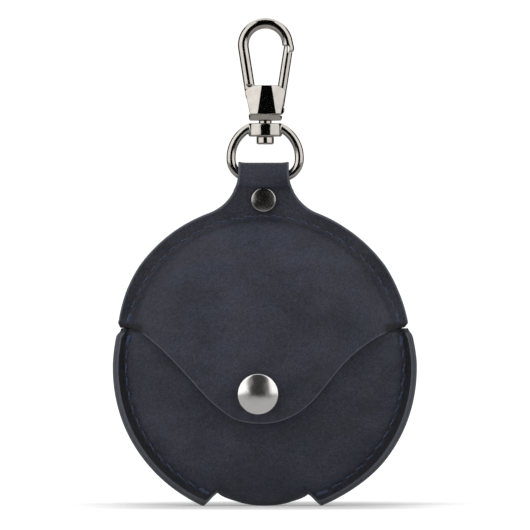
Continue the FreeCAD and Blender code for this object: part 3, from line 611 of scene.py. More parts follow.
def loop_strip():
    """The tab round the ring and down behind: rows along its length, columns across."""
    turn = pi / 2 + atan2(LOOP_R - LEATHER / 2, LOOP_Z - TAB_SPLIT_Z)
    back_in = LEATHER + 0.02
    lean_out = np.array([sin(TAIL_LEAN), -cos(TAIL_LEAN)])
    bend_t = 10
    inner, outer = [(0.0, TAB_SPLIT_Z)], [(-LEATHER, TAB_SPLIT_Z)]
    for t in np.linspace(-turn, turn, 44):
        s, c = sin(t), cos(t)
        inner.append((LOOP_Y + LOOP_R * s, LOOP_Z + LOOP_R * c))
        outer.append((LOOP_Y + (LOOP_R + LEATHER) * s, LOOP_Z + (LOOP_R + LEATHER) * c))
    for z in (TAB_SPLIT_Z, 50.4, 49.2, 48.0, 46.9):
        inner.append((back_in, z))
        outer.append((back_in + LEATHER, z))
    for k in range(1, bend_t + 1):
        a = TAIL_LEAN * k / bend_t
        pivot = np.array([back_in + LEATHER + 0.6, TAIL_TOP_Z + 0.9])
        direction = np.array([-cos(a), -sin(a)])
        inner.append(tuple(pivot + direction * (LEATHER + 0.6)))
        outer.append(tuple(pivot + direction * 0.6))
    last_in, last_out = np.array(inner[-1]), np.array(outer[-1])
    length = (TAIL_TOP_Z - TAIL_Z) / cos(TAIL_LEAN) - 0.6
    for k in np.linspace(0.25, 1.0, 7):
        inner.append(tuple(last_in + lean_out * length * k))
        outer.append(tuple(last_out + lean_out * length * k))
    inner, outer = np.array(inner), np.array(outer)
    for curve in (inner, outer):                       # eases the kinks into bends
        for _ in range(4):
            curve[2:-1] = 0.5 * curve[2:-1] + 0.25 * (curve[1:-2] + curve[3:])
    path = np.concatenate([[0], np.cumsum(np.linalg.norm(np.diff((inner + outer) / 2, axis=0), axis=1))])
    tail = path[-1] - path
    xs = resample([(TAB_HALF, 0), (-TAB_HALF, 0)], 0.5)[:, 0]
    extra = [TAB_HALF - e for e in INSETS] + [-TAB_HALF + e for e in INSETS]
    xs = np.array(sorted(set(np.round(np.concatenate([xs, extra]), 4)), reverse=True))
    m = len(xs)
    verts_top, verts_low, wear = [], [], []
    for i in range(len(inner)):
        half = neck_half(inner[i][1]) if inner[i][0] < LOOP_Y else TAB_HALF
        if tail[i] < TAIL_CORNER:                      # the tail's end is cut with rounded corners
            half = TAB_HALF - bevel_drop(tail[i], TAIL_CORNER)
        for x in xs:
            xx = x * half / TAB_HALF
            e = min(half - abs(xx), tail[i])
            drop, rise = bevel_drop(e, ROUND_OUT) * DROP_SHARE, bevel_drop(e, ROUND_IN)
            ear = 0.5 * (abs(x) / TAB_HALF) ** 10 * exp(-((path[i] - path[23]) / 4.0) ** 2)
            a, b = inner[i], outer[i]
            d = (b - a) / np.linalg.norm(b - a)
            a2, b2 = a + d * (rise + ear), b - d * drop + d * ear
            verts_low.append((xx, a2[0], a2[1]))
            verts_top.append((xx, b2[0], b2[1]))
            wear.append(float(np.clip((ROUND_OUT + 0.1 - e) / 0.16, 0, 1)))
    n = len(verts_top)
    rows = len(inner)
    faces, kinds = grid_faces(rows, m, n)
    rim = [i * m for i in range(rows)] + [(rows - 1) * m + j for j in range(1, m)] + \
          [i * m + m - 1 for i in range(rows - 2, -1, -1)]
    top, low = np.array(verts_top), np.array(verts_low)
    mids = 0.5 * (top[rim] + low[rim])
    for k in range(len(rim) - 1):
        a, b = rim[k], rim[k + 1]
        faces.append([a, b, 2 * n + k + 1, 2 * n + k])
        faces.append([2 * n + k, 2 * n + k + 1, b + n, a + n])
        kinds += [2, 2]
    wear = np.array(wear + wear + [1.0] * len(rim))
    tones = np.stack([wear, np.zeros(len(wear))], 1)
    return xs * neck_half(TAB_SPLIT_Z) / TAB_HALF, (np.concatenate([top, low, mids]), faces, kinds, tones)


def slit_run(dome, centre_z, z, x0, x1):
    """A cut along a level line, in the plane that polar_map takes."""
    xs = np.linspace(x0, x1, 120)
    return to_plane(np.stack([xs, np.full_like(xs, z)], 1), dome, centre_z)


def cap_back_leather():
    rim_right, right, left, rim_left = cap_sides(BACK_TOP_Z)
    rim_right[:, 1] = np.maximum(rim_right[:, 1], CAP_CUT_Z)
    rim_left[:, 1] = np.maximum(rim_left[:, 1], CAP_CUT_Z)
    plane = [to_plane(r, CAP_BACK, CAP_Z) for r in (rim_right, right, left[::-1], rim_left[::-1])]

    def cut(x0, x1, level=CAP_CUT_Z):
        return slit_run(CAP_BACK, CAP_Z, level, x0, x1)

    across = np.vstack([cut(-HINGE_HALF, -HINGE_HALF)[:1], cut(-HINGE_HALF, HINGE_HALF, HINGE_TOP),
                        cut(HINGE_HALF, HINGE_HALF)[:1]])
    pts, real = outline([
        (plane[0], True), (plane[1], True), (np.array([plane[1][-1], plane[2][0]]), True),
        (plane[2], True), (plane[3], True), (cut(rim_left[0, 0], -HINGE_HALF), True),
        (across, False), (cut(HINGE_HALF, rim_right[0, 0]), True)])
    return pts, real, cap_fill(45.2, BACK_TOP_Z - 0.4), polar_map(CAP_BACK, CAP_Z, 5)


def pocket_outline(dome):
    """Pocket disc below the slit: rim with a rounded corner, notch ends, start of the bottom fold."""
    edge = SEAM_R + POCKET_RIM
    z = POCKET_CUT_Z[dome.side]
    tip, down = NOTCH + radians(3.2), -pi / 2
    rims = []
    for sign, corner in ((1, 0.8), (-1, 1.5)):
        run = arc(0, 0, edge, down + tip, 0.3, 200)
        angle = np.arctan2(run[:, 1], run[:, 0])
        rho = edge - 0.4 * smooth((run[:, 1] + 22) / 26) - 0.3 * smooth(run[:, 1] / 9) \
            - corner * smooth((run[:, 1] - 8.3) / 2.6) ** 1.5
        if sign > 0:                    # the right end was trimmed closer
            rho = rho - 0.95 * smooth((-27 - run[:, 1]) / 14)
        height = dome.at(rho, dome.outer)[0] * np.sin(angle)
        run = np.stack([rho * np.cos(angle), rho * np.sin(angle)], 1)[height < z - 0.12]
        rims.append(run * [sign, 1])
    right_rim, left_rim = rims
    ends = [float(dome.at(np.hypot(*run[-1:].T), dome.outer)[0][0]) for run in rims]
    x_right, x_left = (sqrt(r ** 2 - z ** 2) for r in ends)
    apex_l = arc(0, 0, SEAM_R, down - NOTCH, down - NOTCH, 1)
    apex_r = arc(0, 0, SEAM_R, down + NOTCH, down + NOTCH, 1)
    fold = arc(0, 0, FOLD_R, down - NOTCH, down + NOTCH, 80)
    runs = [
        (left_rim[::-1], True),
        (np.vstack([left_rim[:1], apex_l]), True),
        (np.vstack([apex_l, fold, apex_r]), False),
        (np.vstack([apex_r, right_rim[:1]]), True),
        (right_rim, True)]

    def cut(x0, x1, level=z):
        return slit_run(dome, 0.0, level, x0, x1)

    if dome.side < 0:
        across = cut(x_right, -x_left)
        runs.append((np.vstack([right_rim[-1:], across, left_rim[-1:]]), True))
    else:
        first, last = cut(x_right, HINGE_HALF), cut(-HINGE_HALF, -x_left)
        runs += [(np.vstack([right_rim[-1:], first]), True),
                 (np.vstack([first[-1:], cut(HINGE_HALF, -HINGE_HALF, HINGE_LOW), last[:1]]), False),
                 (np.vstack([last, left_rim[-1:]]), True)]
    return runs


def bend(start, lean, low, across, n):
    """Quarter of a fold's section, from start along lean round to the lowest point."""
    fall, over = low[0] - start[0], low[1] - start[1]
    c1 = start + lean * 0.5 * fall / max(lean[0], 0.2)
    c2 = low - np.array([0.0, across * 0.62 * abs(over)])
    t = np.linspace(0, 1, n)[:, None]
    return (1 - t) ** 3 * start + 3 * (1 - t) ** 2 * t * c1 + 3 * (1 - t) * t * t * c2 + t ** 3 * low


def fold_patch(maps):
    """Bottom fold: each section runs from the front disc round to the back disc.

    At the notches a section is the two shoulders meeting in the seam; between them it swells
    into a round U.
    """
    n_phi, n_half = 81, 26
    down = -pi / 2
    phis = np.linspace(down - NOTCH, down + NOTCH, n_phi)
    rho = np.linspace(FOLD_R, SEAM_R, n_half)
    verts_out, verts_in = [], []
    for phi in phis:
        line = np.stack([rho * cos(phi), rho * sin(phi)], 1)
        faces_in, faces_out = [], []
        for mapping in maps:
            for points, store in zip(mapping(line), (faces_in, faces_out)):
                store.append(np.stack([np.hypot(points[:, 0], points[:, 2]), points[:, 1]], 1))
        w = float(smooth((1 - abs(phi - down) / NOTCH) / 0.5)) ** 0.8
        for (front, back), low_r, store in ((faces_out, FOLD_LOW_R, verts_out),
                                            (faces_in, FOLD_LOW_R - LEATHER, verts_in)):
            pinched = np.concatenate([front, back[::-1][1:]])
            if store is verts_out:
                seam_out = np.array([SEAM_R + 0.55, 0.3])
                near = pinched[n_half - 4:n_half + 3]
                pinched[n_half - 4:n_half + 3] = seam_out + 0.25 * (near - seam_out)
            low = np.array([low_r, 0.5 * (front[0, 1] + back[0, 1])])
            halves = []
            for half, across in ((front, 1), (back, -1)):
                lean = half[1] - half[0]
                halves.append(bend(half[0], lean / np.linalg.norm(lean), low, across, n_half))
            full = np.concatenate([halves[0], halves[1][::-1][1:]])
            section = pinched * (1 - w) + full * w
            store.append(np.stack([section[:, 0] * cos(phi), section[:, 1],
                                   section[:, 0] * sin(phi)], 1))
    m = 2 * n_half - 1
    outer, inner = np.concatenate(verts_out), np.concatenate(verts_in)
    n = len(outer)
    faces, kinds = grid_faces(n_phi, m, n, True)
    across = np.tile(np.arange(m), n_phi)
    # painted shade: the fold is darkened towards its lowest line, away from the discs
    dark = 0.45 * smooth(np.minimum(across, m - 1 - across) / 16)
    dark = np.concatenate([dark, np.zeros(n)])
    return np.concatenate([outer, inner]), faces, kinds, np.stack([np.zeros(2 * n), dark], 1)


def hinge_strip():
    """The live hinge: from the cap's back to the pocket's back, between the side slits."""
    cap_map, pocket_map = polar_map(CAP_BACK, CAP_Z, 5), polar_map(POCKET_BACK, 0.0, 5)
    xs, zs = np.linspace(-HINGE_HALF, HINGE_HALF, 65), np.linspace(HINGE_TOP, HINGE_LOW, 25)
    grid = np.array([(x, z) for z in zs for x in xs])
    (ci, co) = cap_map(to_plane(grid, CAP_BACK, CAP_Z))
    (pi_, po) = pocket_map(to_plane(grid, POCKET_BACK, 0.0))
    w = smooth((HINGE_TOP - grid[:, 1]) / (HINGE_TOP - HINGE_LOW))[:, None]
    inner, outer = ci * (1 - w) + pi_ * w, co * (1 - w) + po * w
    outer[:, 1] -= 0.28 * np.exp(-((grid[:, 1] - SLIT_Z) / 0.55) ** 2)
    m, n = len(xs), len(grid)
    faces, kinds = grid_faces(len(zs), m, n)
    for j in (0, m - 1):
        for i in range(len(zs) - 1):
            a, b = i * m + j, (i + 1) * m + j
            faces.append([a, b, b + n, a + n])
            kinds.append(2)
    return np.concatenate([outer, inner]), faces, kinds, np.zeros((2 * n, 2))


# ---- materials ----
def node_material(name):
    m = bpy.data.materials.new(name)
    m.use_nodes = True
    tree = m.node_tree
    tree.nodes.clear()
    out = tree.nodes.new("ShaderNodeOutputMaterial")
    bsdf = tree.nodes.new("ShaderNodeBsdfPrincipled")
    tree.links.new(bsdf.outputs[0], out.inputs[0])
    return m, tree, bsdf


def put(tree, socket, value):
    """Links a socket to another node's output, or sets its constant."""
    if isinstance(value, bpy.types.NodeSocket):
        tree.links.new(value, socket)
    elif isinstance(value, tuple) and socket.type == "RGBA":
        socket.default_value = (*value[:3], 1)
    else:
        socket.default_value = value


def set_inputs(tree, node, values):
    for key, value in values.items():
        put(tree, node.inputs[key], value)


def add(tree, kind, inputs, **props):
    node = tree.nodes.new(kind)
    for key, value in props.items():
        setattr(node, key, value)
    set_inputs(tree, node, inputs)
    return node


def ramp(tree, source, stops):
    node = add(tree, "ShaderNodeValToRGB", {0: source})
    for el, (pos, value) in zip(node.color_ramp.elements, stops):
        el.position = pos
        el.color = (*value, 1) if isinstance(value, tuple) else (value, value, value, 1)
    return node.outputs[0]


def mix(tree, factor, a, b, mode="MIX"):
    inputs = {0: factor, 6: a, 7: b}
    return add(tree, "ShaderNodeMix", inputs, data_type="RGBA", blend_type=mode).outputs[2]


def math_node(tree, op, a, b):
    return add(tree, "ShaderNodeMath", {0: a, 1: b}, operation=op).outputs[0]


def weighted(tree, *terms):
    """Sum of (output, weight) terms, where a bare number is added as it is."""
    total = None
    for term in terms:
        value = math_node(tree, "MULTIPLY", *term) if isinstance(term, tuple) else term
        total = value if total is None else math_node(tree, "ADD", total, value)
    return total


def coords(tree, scale=(1000, 1000, 1000)):
    """Object coordinates in millimetres, stretched by scale."""
    tc = tree.nodes.new("ShaderNodeTexCoord")
    return add(tree, "ShaderNodeMapping", {0: tc.outputs["Object"], 3: scale}).outputs[0]


def noise_tex(tree, vector, scale, detail=3.0, rough=0.5):
    return add(tree, "ShaderNodeTexNoise", {"Vector": vector, "Scale": scale, "Detail": detail,
                                           "Roughness": rough}).outputs[0]


def attribute(tree, name):
    return add(tree, "ShaderNodeAttribute", {}, attribute_name=name).outputs["Fac"]


def finish_surface(tree, bsdf, colour, rough, height, strength, distance, extra):
    """Wires up the shader; height gives a bump of so many metres."""
    bump = add(tree, "ShaderNodeBump", {"Strength": strength, "Distance": distance, "Height": height})
    set_inputs(tree, bsdf, {"Base Color": colour, "Roughness": rough, "Normal": bump.outputs[0], **extra})


def leather_material(name, dark, light, worn, rough=0.6, grain=1.0):
    m, tree, bsdf = node_material(name)
    mm = coords(tree)
    cloud = noise_tex(tree, coords(tree, (700, 700, 1000)), 0.09, 4.0, 0.6)
    hue = noise_tex(tree, coords(tree, (500, 900, 900)), 0.16, 3.0, 0.55)
    creases = noise_tex(tree, coords(tree, (650, 900, 1500)), 0.9, 4.0, 0.62)
    grainy = noise_tex(tree, mm, 0.95, 5.0, 0.72)
    fine = noise_tex(tree, mm, 2.6, 3.0, 0.6)
    colour = ramp(tree, weighted(tree, (cloud, 0.55), (grainy, 0.45)), [(0.38, dark), (0.62, light)])
    for factor in (ramp(tree, hue, [(0.38, (1.06, 0.98, 0.96)), (0.62, (0.94, 1.02, 1.05))]),
                   ramp(tree, fine, [(0.38, 0.7), (0.62, 1.3)])):
        colour = mix(tree, 1.0, colour, factor, "MULTIPLY")
    # painted shade: where the shade attribute is set, the colour is multiplied darker
    shaded = mix(tree, 1.0, colour, (0.38, 0.34, 0.33), "MULTIPLY")
    colour = mix(tree, attribute(tree, "shade"), colour, shaded)
    patchy = ramp(tree, grainy, [(0.3, 0.6), (0.62, 1.0)])
    wear = math_node(tree, "MULTIPLY", attribute(tree, "wear"), patchy)
    finish_surface(tree, bsdf, mix(tree, wear, colour, worn), weighted(tree, (cloud, 0.3), rough - 0.15),
                   weighted(tree, (grainy, 1.0), (fine, 0.35), (creases, 1.1)), 0.7, 0.00022 * grain,
                   {"Specular IOR Level": 0.3, "Sheen Weight": 0.05, "Sheen Roughness": 0.4,
                    "Sheen Tint": (0.8, 0.88, 1.0)})
    return m


def metal_material(name, colour, rough, dirt=0.0, scratch=0.5):
    m, tree, bsdf = node_material(name)
    cloud = noise_tex(tree, coords(tree), 0.5, 4.0, 0.6)
    fine = noise_tex(tree, coords(tree, (900, 900, 2600)), 1.6, 3.0, 0.6)
    dirty = ramp(tree, cloud, [(0.5 - 0.2 * dirt, 0.0), (0.75, dirt)]) if dirt else 0.0
    base = mix(tree, dirty, colour, (0.05, 0.045, 0.04))
    uneven = weighted(tree, (cloud, 0.1 * (1 + 2 * dirt)), rough)
    finish_surface(tree, bsdf,
                   mix(tree, 1.0, base, ramp(tree, cloud, [(0.3, 0.9), (0.7, 1.08)]), "MULTIPLY"),
                   weighted(tree, (fine, 0.12 * scratch), uneven),
                   fine, 0.5 * scratch, 0.00002, {"Metallic": 1.0})
    return m


def thread_material():
    m, tree, bsdf = node_material("waxed_thread")
    fine = noise_tex(tree, coords(tree), 5.0, 3.0)
    colour = ramp(tree, fine, [(0.3, (0.005, 0.014, 0.042)), (0.7, (0.012, 0.030, 0.080))])
    finish_surface(tree, bsdf, colour, 0.55, fine, 0.4, 0.00004, {"Sheen Weight": 0.3})
    return m


LEATHER_TOP = leather_material("oiled_nubuck", (0.0138, 0.0148, 0.0248), (0.0288, 0.0303, 0.0475),
                               (0.060, 0.067, 0.087))
LEATHER_INSIDE = leather_material("flesh_side", (0.040, 0.036, 0.034), (0.075, 0.066, 0.060),
                                  (0.05, 0.046, 0.045), rough=0.9, grain=1.6)
LEATHER_EDGE = leather_material("burnished_edge", (0.021, 0.023, 0.032), (0.036, 0.040, 0.054),
                                (0.050, 0.055, 0.070), rough=0.5, grain=0.5)
GUNMETAL = metal_material("black_nickel", (0.59, 0.557, 0.512), 0.05, scratch=0.12)
RIVET_METAL = metal_material("rivet_nickel", (0.50, 0.48, 0.465), 0.12, dirt=0.2, scratch=0.25)
SNAP_METAL = metal_material("snap_nickel", (0.96, 0.945, 0.92), 0.13, dirt=0.12)
STEEL = metal_material("spring_wire", (0.5, 0.5, 0.5), 0.2)
THREAD = thread_material()
HIDE = (LEATHER_TOP, LEATHER_INSIDE, LEATHER_EDGE)


# ---- leather pieces ----
def seam_painted_shade(centre_z, flange, shift=0.0):
    """Painted shade in the groove along the stitches and, by flange, on the rim outside it."""
    def painted_shade(flat):
        rho = np.hypot(flat[:, 0], flat[:, 1] - centre_z) - shift
        groove = 0.5 * np.exp(-((rho - SEAM_R + 0.2) / 0.9) ** 2)
        return np.maximum(groove, flange * smooth((rho - SEAM_R - 0.3) / 0.8))
    return painted_shade


def finish_leather(name, parts, warp, weld=0.045):
    verts, faces, kinds, wear = joined(parts)
    obj = mesh_object(name, verts, faces, kinds, wear, HIDE, weld, warp)
    return obj


split_xs, strip = loop_strip()
pts, real, fill, mapping = front_leather(split_xs)
# painted shade along the cap front's seam, and a little on its rim
painted_shade = seam_painted_shade(CAP_Z, 0.3, -CAP_DRAW)
front = finish_leather("front_hide", [sheet(pts, real, fill, mapping, -1, painted_shade, front_bevel), strip],
                       leather_warp)
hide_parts("cap_front_panel", "tongue_root", "hanger_loop", "flap_tongue")
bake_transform(front)

pts, real, fill, mapping = cap_back_leather()
# painted shade along the cap back's seam, and a little on its rim
painted_shade = seam_painted_shade(CAP_Z, 0.25)
cap_back = finish_leather("cap_back_hide", [sheet(pts, real, fill, mapping, 1, painted_shade, back_bevel)],
                          leather_warp)
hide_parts("cap_back_panel")
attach(cap_back, "cap")

hinge = finish_leather("hinge_hide", [hinge_strip()], leather_warp)
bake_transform(hinge)

parts = []
for dome, seed in ((POCKET_FRONT, 8), (POCKET_BACK, 5)):
    pts, real = outline(pocket_outline(dome))
    # the pocket's rim outside the stitches takes the full painted shade
    parts.append(sheet(pts, real, fill_points((0.0, 0.0), SEAM_R + 3.8), polar_map(dome, 0.0, seed),
                       dome.side, seam_painted_shade(0.0, 1.0), rim_bevel))
parts.append(fold_patch([polar_map(POCKET_FRONT, 0.0, 8), polar_map(POCKET_BACK, 0.0, 5)]))
pocket = finish_leather("pocket_hide", parts, pocket_warp)
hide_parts("pocket_front_panel", "pocket_back_panel", "bottom_fold")
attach(pocket, "pocket")


# ---- stitches ----
def thread_tube(path, radius, t, twist=2.6, sides=10):
    """Two-ply thread along points: a tube with two twisting lobes, fuller towards one end."""
    path = np.asarray(path, float)
    n = len(path)
    tangents = np.gradient(path, axis=0)
    tangents /= np.linalg.norm(tangents, axis=1)[:, None]
    up = np.array([0.0, 1.0, 0.0])
    verts, faces = [], []
    length = np.concatenate([[0], np.cumsum(np.linalg.norm(np.diff(path, axis=0), axis=1))])
    for i in range(n):
        side = np.cross(tangents[i], up)
        side /= max(np.linalg.norm(side), 1e-6)
        over = np.cross(side, tangents[i])
        for k in range(sides):
            a = 2 * pi * k / sides
            r = radius * (0.92 + 0.16 * cos(2 * (a - twist * length[i]))) * (1 - 0.14 * t[i])
            verts.append(path[i] + side * r * cos(a) * 1.12 + over * r * sin(a) * 0.85)
    for i in range(n - 1):
        for k in range(sides):
            a, b = i * sides + k, i * sides + (k + 1) % sides
            faces.append([a, b, b + sides, a + sides])
    faces.append(list(range(sides))[::-1])
    faces.append([(n - 1) * sides + k for k in range(sides)])
    return np.array(verts), faces, [0] * len(faces), np.zeros((len(verts), 2))


def seam_stitches(dome, centre_z, seam, rho, mirrored=False, skip=()):
    """Stitches of one row, lying on the outer face at rho; the row's end stitches are doubled."""
    if dome is CAP_FRONT:
        ro, do = rho, float(dome.depth(drawn_in(rho), dome.outer)) - 0.1
        nr, nd = 0.0, 1.0
    else:
        r, d = dome.at(np.array([rho, rho - 0.15, rho + 0.15]), dome.outer)
        ro, do = r[0], d[0]
        dr, dd = r[2] - r[1], d[2] - d[1]
        nr, nd = -dd / hypot(dr, dd), dr / hypot(dr, dd)
    first, step, count = seam
    made = []
    t = np.linspace(-1, 1, 15)
    for i in range(count):
        middle = first + (i + 0.5) * step
        half = STITCH_HALF + random.uniform(-0.1, 0.1)
        slant = 0.13 + random.uniform(-0.05, 0.05)
        nudge = random.uniform(-0.12, 0.12)
        if skip and skip[0] < middle < skip[1]:
            continue
        if mirrored:
            middle = 180 - middle
        ends = i in (0, count - 1)
        for strand in ((-0.19, 0.19) if ends else (0.0,)):
            thick = KNOT_THICK if ends else THREAD_THICK
            along = t * (half + (0.25 if ends else 0.0)) + nudge
            lift = thick * 0.55 * (1 - np.abs(t) ** 3) - 0.34 * np.abs(t) ** 6
            a = radians(middle) + along / ro
            off = slant * along + strand
            r = ro + nd * off + nr * lift
            d = do - nr * off + nd * lift
            path = np.stack([r * np.cos(a), dome.side * d, centre_z + r * np.sin(a)], 1)
            made.append(thread_tube(path, thick, t))
    return made


CAP_RHO, POCKET_RHO, BACK_RHO = 40.2, SEAM_R - 0.05, SEAM_R + 0.6


def thread_row(name, node, body, rows, warp):
    verts, faces, kinds, _ = joined(rows)
    obj = mesh_object(name, verts, faces, kinds, None, (THREAD,), 0.0, warp)
    hand_over(obj, "thread_blue", body, node)


thread_row("cap_stitches", "cap_seam_thread", "cap",
           seam_stitches(CAP_FRONT, CAP_Z, CAP_SEAM, CAP_RHO)
           + seam_stitches(CAP_BACK, CAP_Z, CAP_SEAM, BACK_RHO, skip=(76, 104)), leather_warp)
for side in ("right", "left"):
    thread_row("pocket_stitches_" + side, "pocket_seam_thread_" + side, "pocket",
               seam_stitches(POCKET_FRONT, 0.0, POCKET_SEAM, POCKET_RHO, side == "left")
               + seam_stitches(POCKET_BACK, 0.0, POCKET_SEAM, BACK_RHO, side == "left"), pocket_warp)


# ---- metal ----
HOUSING_LOW, HOUSING_TOP = 72.9, 81.4
COLLAR_LOW = 71.2
HOUSING_DEPTH, HOUSING_OVAL = 3.5, 6.6  # the CAD housing's oval section, half sizes
FACET_EASE = 0.12


def hook_shape(points):
    """Three facets on each broad face of the housing, a tapered collar and a fuller width."""
    x, y, z = points.T
    up = np.clip((z - HOUSING_LOW) / (HOUSING_TOP - HOUSING_LOW), 0, 1)
    beyond = np.abs(x - 0.35) - (2.6 - 1.25 * up)      # past the middle facet's edge
    slope = 0.18 * (beyond + np.sqrt(beyond ** 2 + FACET_EASE ** 2))
    depth = HOUSING_DEPTH - slope
    was = HOUSING_DEPTH * np.sqrt(np.maximum(0.05, 1 - (x / HOUSING_OVAL) ** 2))
    on = smooth((z - HOUSING_LOW + 0.1) / 0.3) * smooth((HOUSING_TOP + 0.3 - z) / 0.3)
    y = y - LOOP_Y
    y = y * (1 + (depth / was - 1) * on)
    low = np.clip((HOUSING_LOW - z) / (HOUSING_LOW - COLLAR_LOW), 0, 1)
    y = y * (1 - 0.17 * low)
    x = x * (1.02 - 0.03 * low) + 0.12
    x = x + 0.35 * np.exp(-((z - 92.2) / 1.2) ** 2) * smooth((x - 4) / 3)      # the nose's lip
    return np.stack([x, y + LOOP_Y, z], 1)


def wider(points):
    points[:, 0] = points[:, 0] * 1.02 + 0.06
    return points


def cast_copy(node, name, body, voxel, passes, shape):
    """The CAD node's shape with the rounded corners of a casting."""
    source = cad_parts[node]
    obj = new_object(name, source.data.copy())
    remesh = obj.modifiers.new("remesh", "REMESH")
    remesh.mode = "VOXEL"
    remesh.voxel_size = voxel * MM
    remesh.use_smooth_shade = True
    relax = obj.modifiers.new("relax", "SMOOTH")
    relax.factor = 0.5
    relax.iterations = passes
    graph = bpy.context.evaluated_depsgraph_get()
    mesh = bpy.data.meshes.new_from_object(obj.evaluated_get(graph))
    obj.modifiers.clear()
    obj.data = mesh
    only_material(mesh, GUNMETAL)
    count = len(mesh.vertices)
    co, normals = np.empty(count * 3), np.empty(count * 3)
    mesh.vertices.foreach_get("co", co)
    mesh.vertex_normals.foreach_get("vector", normals)
    points = (co + 0.07 * MM * normals).reshape(-1, 3) / MM + HANG      # smoothing had thinned it
    mesh.vertices.foreach_set("co", place(shape(points)).ravel())
    for p in mesh.polygons:
        p.use_smooth = True
        p.material_index = 0
    mesh.update()
    hand_over(obj, "gunmetal", body, node)


cast_copy("hook_body", "hook_casting", "hook", 0.16, 3, hook_shape)
cast_copy("gate", "gate_rod", "gate", 0.13, 3, wider)
cast_copy("swivel_eye", "ring_casting", "eye", 0.15, 4, wider)
cast_copy("swivel_stud", "stud_turned", "hook", 0.12, 3, wider)


def lathe(name, profile, base, facing, mat, body, slot, node, dent, seed, segments=96):
    """Pressed cap on a Y axis; profile is (radius, height) from the middle of its underside."""
    profile = np.asarray(profile, float)
    rows = len(profile)
    verts, faces = [], []
    for k in range(segments):
        a = 2 * pi * k / segments
        for r, h in profile:
            p = Vector((r * cos(a), h, r * sin(a)))
            h += dent * noise.noise(p / 2.2 + Vector((seed, 0, 0))) if h > 0.3 else 0.0
            verts.append((base[0] + r * cos(a), base[1] + facing * h, base[2] + r * sin(a)))
    for k in range(segments):
        for i in range(rows - 1):
            a, b = k * rows + i, ((k + 1) % segments) * rows + i
            faces.append([a, b, b + 1, a + 1])
    obj = mesh_object(name, np.array(verts), faces, None, None, (mat,), weld=0.004)
    hand_over(obj, slot, body, node)


def cap_profile(radius, crown, roll, height):
    """Pressed cap from its flat underside round a rolled rim to a shallow crown of radius crown."""
    turn = asin((radius - roll) / (crown - roll))
    top = crown * (1 - cos(turn))
    rim_z = height - top - roll * cos(turn)
    pts = [(0.0, 0.0), (radius * 0.5, 0.0), (radius - roll * 0.55, 0.0)]
    pts += [(radius - roll + roll * sin(a), rim_z + roll * cos(a))
            for a in np.linspace(radians(150), turn, 16)]
    pts += [(crown * sin(a), height - crown + crown * cos(a)) for a in np.linspace(turn, 0, 30)[1:]]
    return pts


def lo_hi(node):
    lo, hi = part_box(node)
    return np.array(lo) / MM + HANG, np.array(hi) / MM + HANG


front_y = lo_hi("snap_cap")[0][1]
lathe("snap_dome", cap_profile(5.95, 14.5, 0.8, 2.7), (SNAP_X - POCKET_LEAN * 0.5, front_y + 2.7, SNAP_Z),
      -1, SNAP_METAL, "flap", "nickel_cap", "snap_cap", dent=0.035, seed=3)
front_y = lo_hi("rivet_front")[0][1]
lathe("rivet_dome", cap_profile(3.65, 15.0, 0.55, 1.5), (-CAP_LEAN, front_y + 1.5, RIVET_Z),
      -1, RIVET_METAL, "cap", "rivet_dark", "rivet_front", dent=0.03, seed=7)
back_y = lo_hi("rivet_back")[1][1]
lathe("rivet_back_dome", cap_profile(3.0, 8.0, 0.45, 1.2), (-CAP_LEAN, back_y - 1.2, RIVET_Z),
      1, RIVET_METAL, "cap", "rivet_dark", "rivet_back", dent=0.03, seed=9)
for node, mat in (("snap_socket", SNAP_METAL), ("snap_stud", SNAP_METAL), ("snap_post", SNAP_METAL),
                  ("snap_spring", STEEL), ("gate_pin", GUNMETAL)):
    only_material(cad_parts[node].data, mat)


# the gate's coil, copied to a mesh of its own; the real coil shortens as the gate opens
coil_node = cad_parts["gate_spring"]
coil = new_object("gate_coil", coil_node.data.copy())
coil.matrix_world = coil_node.matrix_world.copy()
only_material(coil.data, STEEL)
for p in coil.data.polygons:
    p.use_smooth = True
hand_over(coil, "spring_steel", "hook", "gate_spring")
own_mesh(coil)


# ---- stage ----
bottom = float(CAD_BOX[0][2])


def stage_mesh(name, verts, faces, colour=(0.0, 0.0, 0.0), glow=0.0, glossy_only=True):
    """Part of the studio. A glossy-only panel is seen in reflections and nowhere else."""
    mesh = bpy.data.meshes.new(name)
    mesh.from_pydata(verts, [], faces)
    obj = new_object(name, mesh)
    mat, tree, bsdf = node_material(name + "_surface")
    set_inputs(tree, bsdf, {"Base Color": colour, "Roughness": 1.0, "Specular IOR Level": 0.0,
                            "Emission Color": (1.0, 1.0, 1.0), "Emission Strength": glow})
    mesh.materials.append(mat)
    if glossy_only:
        obj.visible_camera = obj.visible_diffuse = obj.visible_shadow = False
        obj.visible_transmission = obj.visible_volume_scatter = False
    return tree, bsdf.inputs["Emission Strength"]


def fade_glow(tree, strength, source, low, high, dim, glow):
    """Glow that rises from dim to full as source goes from low to high."""
    fade = add(tree, "ShaderNodeMapRange", {0: source, 1: low, 2: high, 3: dim * glow, 4: glow})
    put(tree, strength, fade.outputs[0])


def wall(name, start, end, high, radius=0.7, glow=0.0):
    """Upright curved panel; start and end are degrees from the camera's side, positive to the right."""
    angles = np.radians(np.linspace(start, end, 13))
    verts = [(radius * sin(a), -radius * cos(a), z) for a in angles for z in (bottom, high)]
    faces = [(2 * i, 2 * i + 2, 2 * i + 3, 2 * i + 1) for i in range(len(angles) - 1)]
    tree, strength = stage_mesh(name, verts, faces, glow=glow)
    if glow:                            # dimmer towards the floor
        position = tree.nodes.new("ShaderNodeNewGeometry").outputs[0]
        height = add(tree, "ShaderNodeSeparateXYZ", {0: position}).outputs[2]
        fade_glow(tree, strength, height, -0.12, 0.12, 0.86, glow)


def level_panel(name, x, y0, y1, z, *look):
    return stage_mesh(name, [(-x, y0, z), (x, y0, z), (x, y1, z), (-x, y1, z)], [(0, 1, 2, 3)], *look)


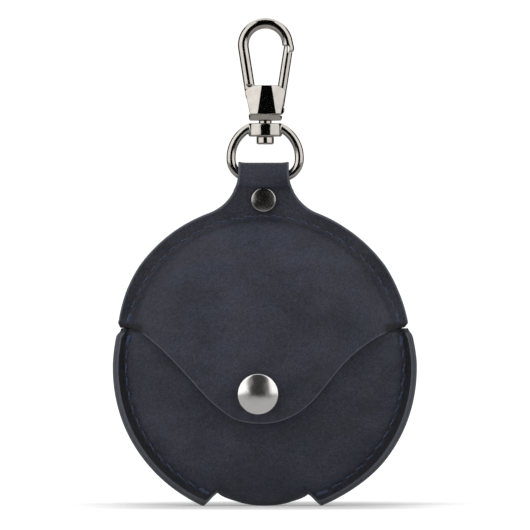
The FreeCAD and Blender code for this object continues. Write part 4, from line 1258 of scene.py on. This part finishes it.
FLOOR_SPAN = 12.0
FLOOR_TINT = (0.47, 0.47, 0.47)
FLOOR_GLOW = 0.6                       # keeps the open floor white; it fades where the pouch stands, a painted contact shadow
tree, strength = level_panel("floor", FLOOR_SPAN, -FLOOR_SPAN, FLOOR_SPAN, bottom,
                             FLOOR_TINT, FLOOR_GLOW, False)
# painted contact shadow: the floor's glow dims with its ambient occlusion near the pouch
open_sky = add(tree, "ShaderNodeAmbientOcclusion", {"Distance": 0.055}).outputs["AO"]
fade_glow(tree, strength, open_sky, 0.76, 0.98, 0.3, FLOOR_GLOW)

BLACK = (0.0, 0.0, 0.0)
level_panel("floor_reflection", 1.0, -1.0, 1.0, bottom + 0.004, BLACK, 0.38)
level_panel("floor_flag", 0.34, -0.72, -0.2, bottom + 0.006)
wall("flag_front", -23, 26, 0.9)
wall("flag_left", -154, -95, 0.6)
wall("flag_right", 95, 154, 0.6)
wall("soft_left", -94, -33, 0.6, 0.75, glow=1.3)
wall("soft_right", 34, 94, 0.6, 0.75, glow=1.16)
level_panel("flag_roof", 0.34, -0.7, -0.2, 0.9)

world = bpy.data.worlds.new("studio")
bpy.context.scene.world = world
world.use_nodes = True
background = world.node_tree.nodes["Background"].inputs
background[0].default_value = (1, 1, 1, 1)
background[1].default_value = 1.08

# A large light shapes the leather and stays out of the metal's reflections.
light = bpy.data.lights.new("key", "AREA")
light.energy = 3.6
light.shape = "SQUARE"
light.size = 0.6
key = new_object("key", light)
key.location = (-0.42, -0.5, 0.8)
middle = Vector([float(v) for v in (CAD_BOX[0] + CAD_BOX[1]) / 2])
key.rotation_euler = (middle - key.location).to_track_quat("-Z", "Y").to_euler()
key.visible_camera = key.visible_glossy = False

VIEW_WIDTH = 0.1537                    # metres across the picture at the pouch
VIEW_Z = 29.3                          # the camera's height above the pocket's centre, in millimetres
DISTANCE = 2.5
cam_data = bpy.data.cameras.new("camera")
cam_data.sensor_width = 36
cam_data.lens = 36 * DISTANCE / VIEW_WIDTH
cam_data.clip_start = 0.05
cam = new_object("camera", cam_data)
cam.location = (0.0, -DISTANCE, (VIEW_Z - HANG[2]) * MM)
cam.rotation_euler = (pi / 2, 0, 0)
bpy.context.scene.camera = cam
bpy.context.scene.view_settings.view_transform = "Standard"
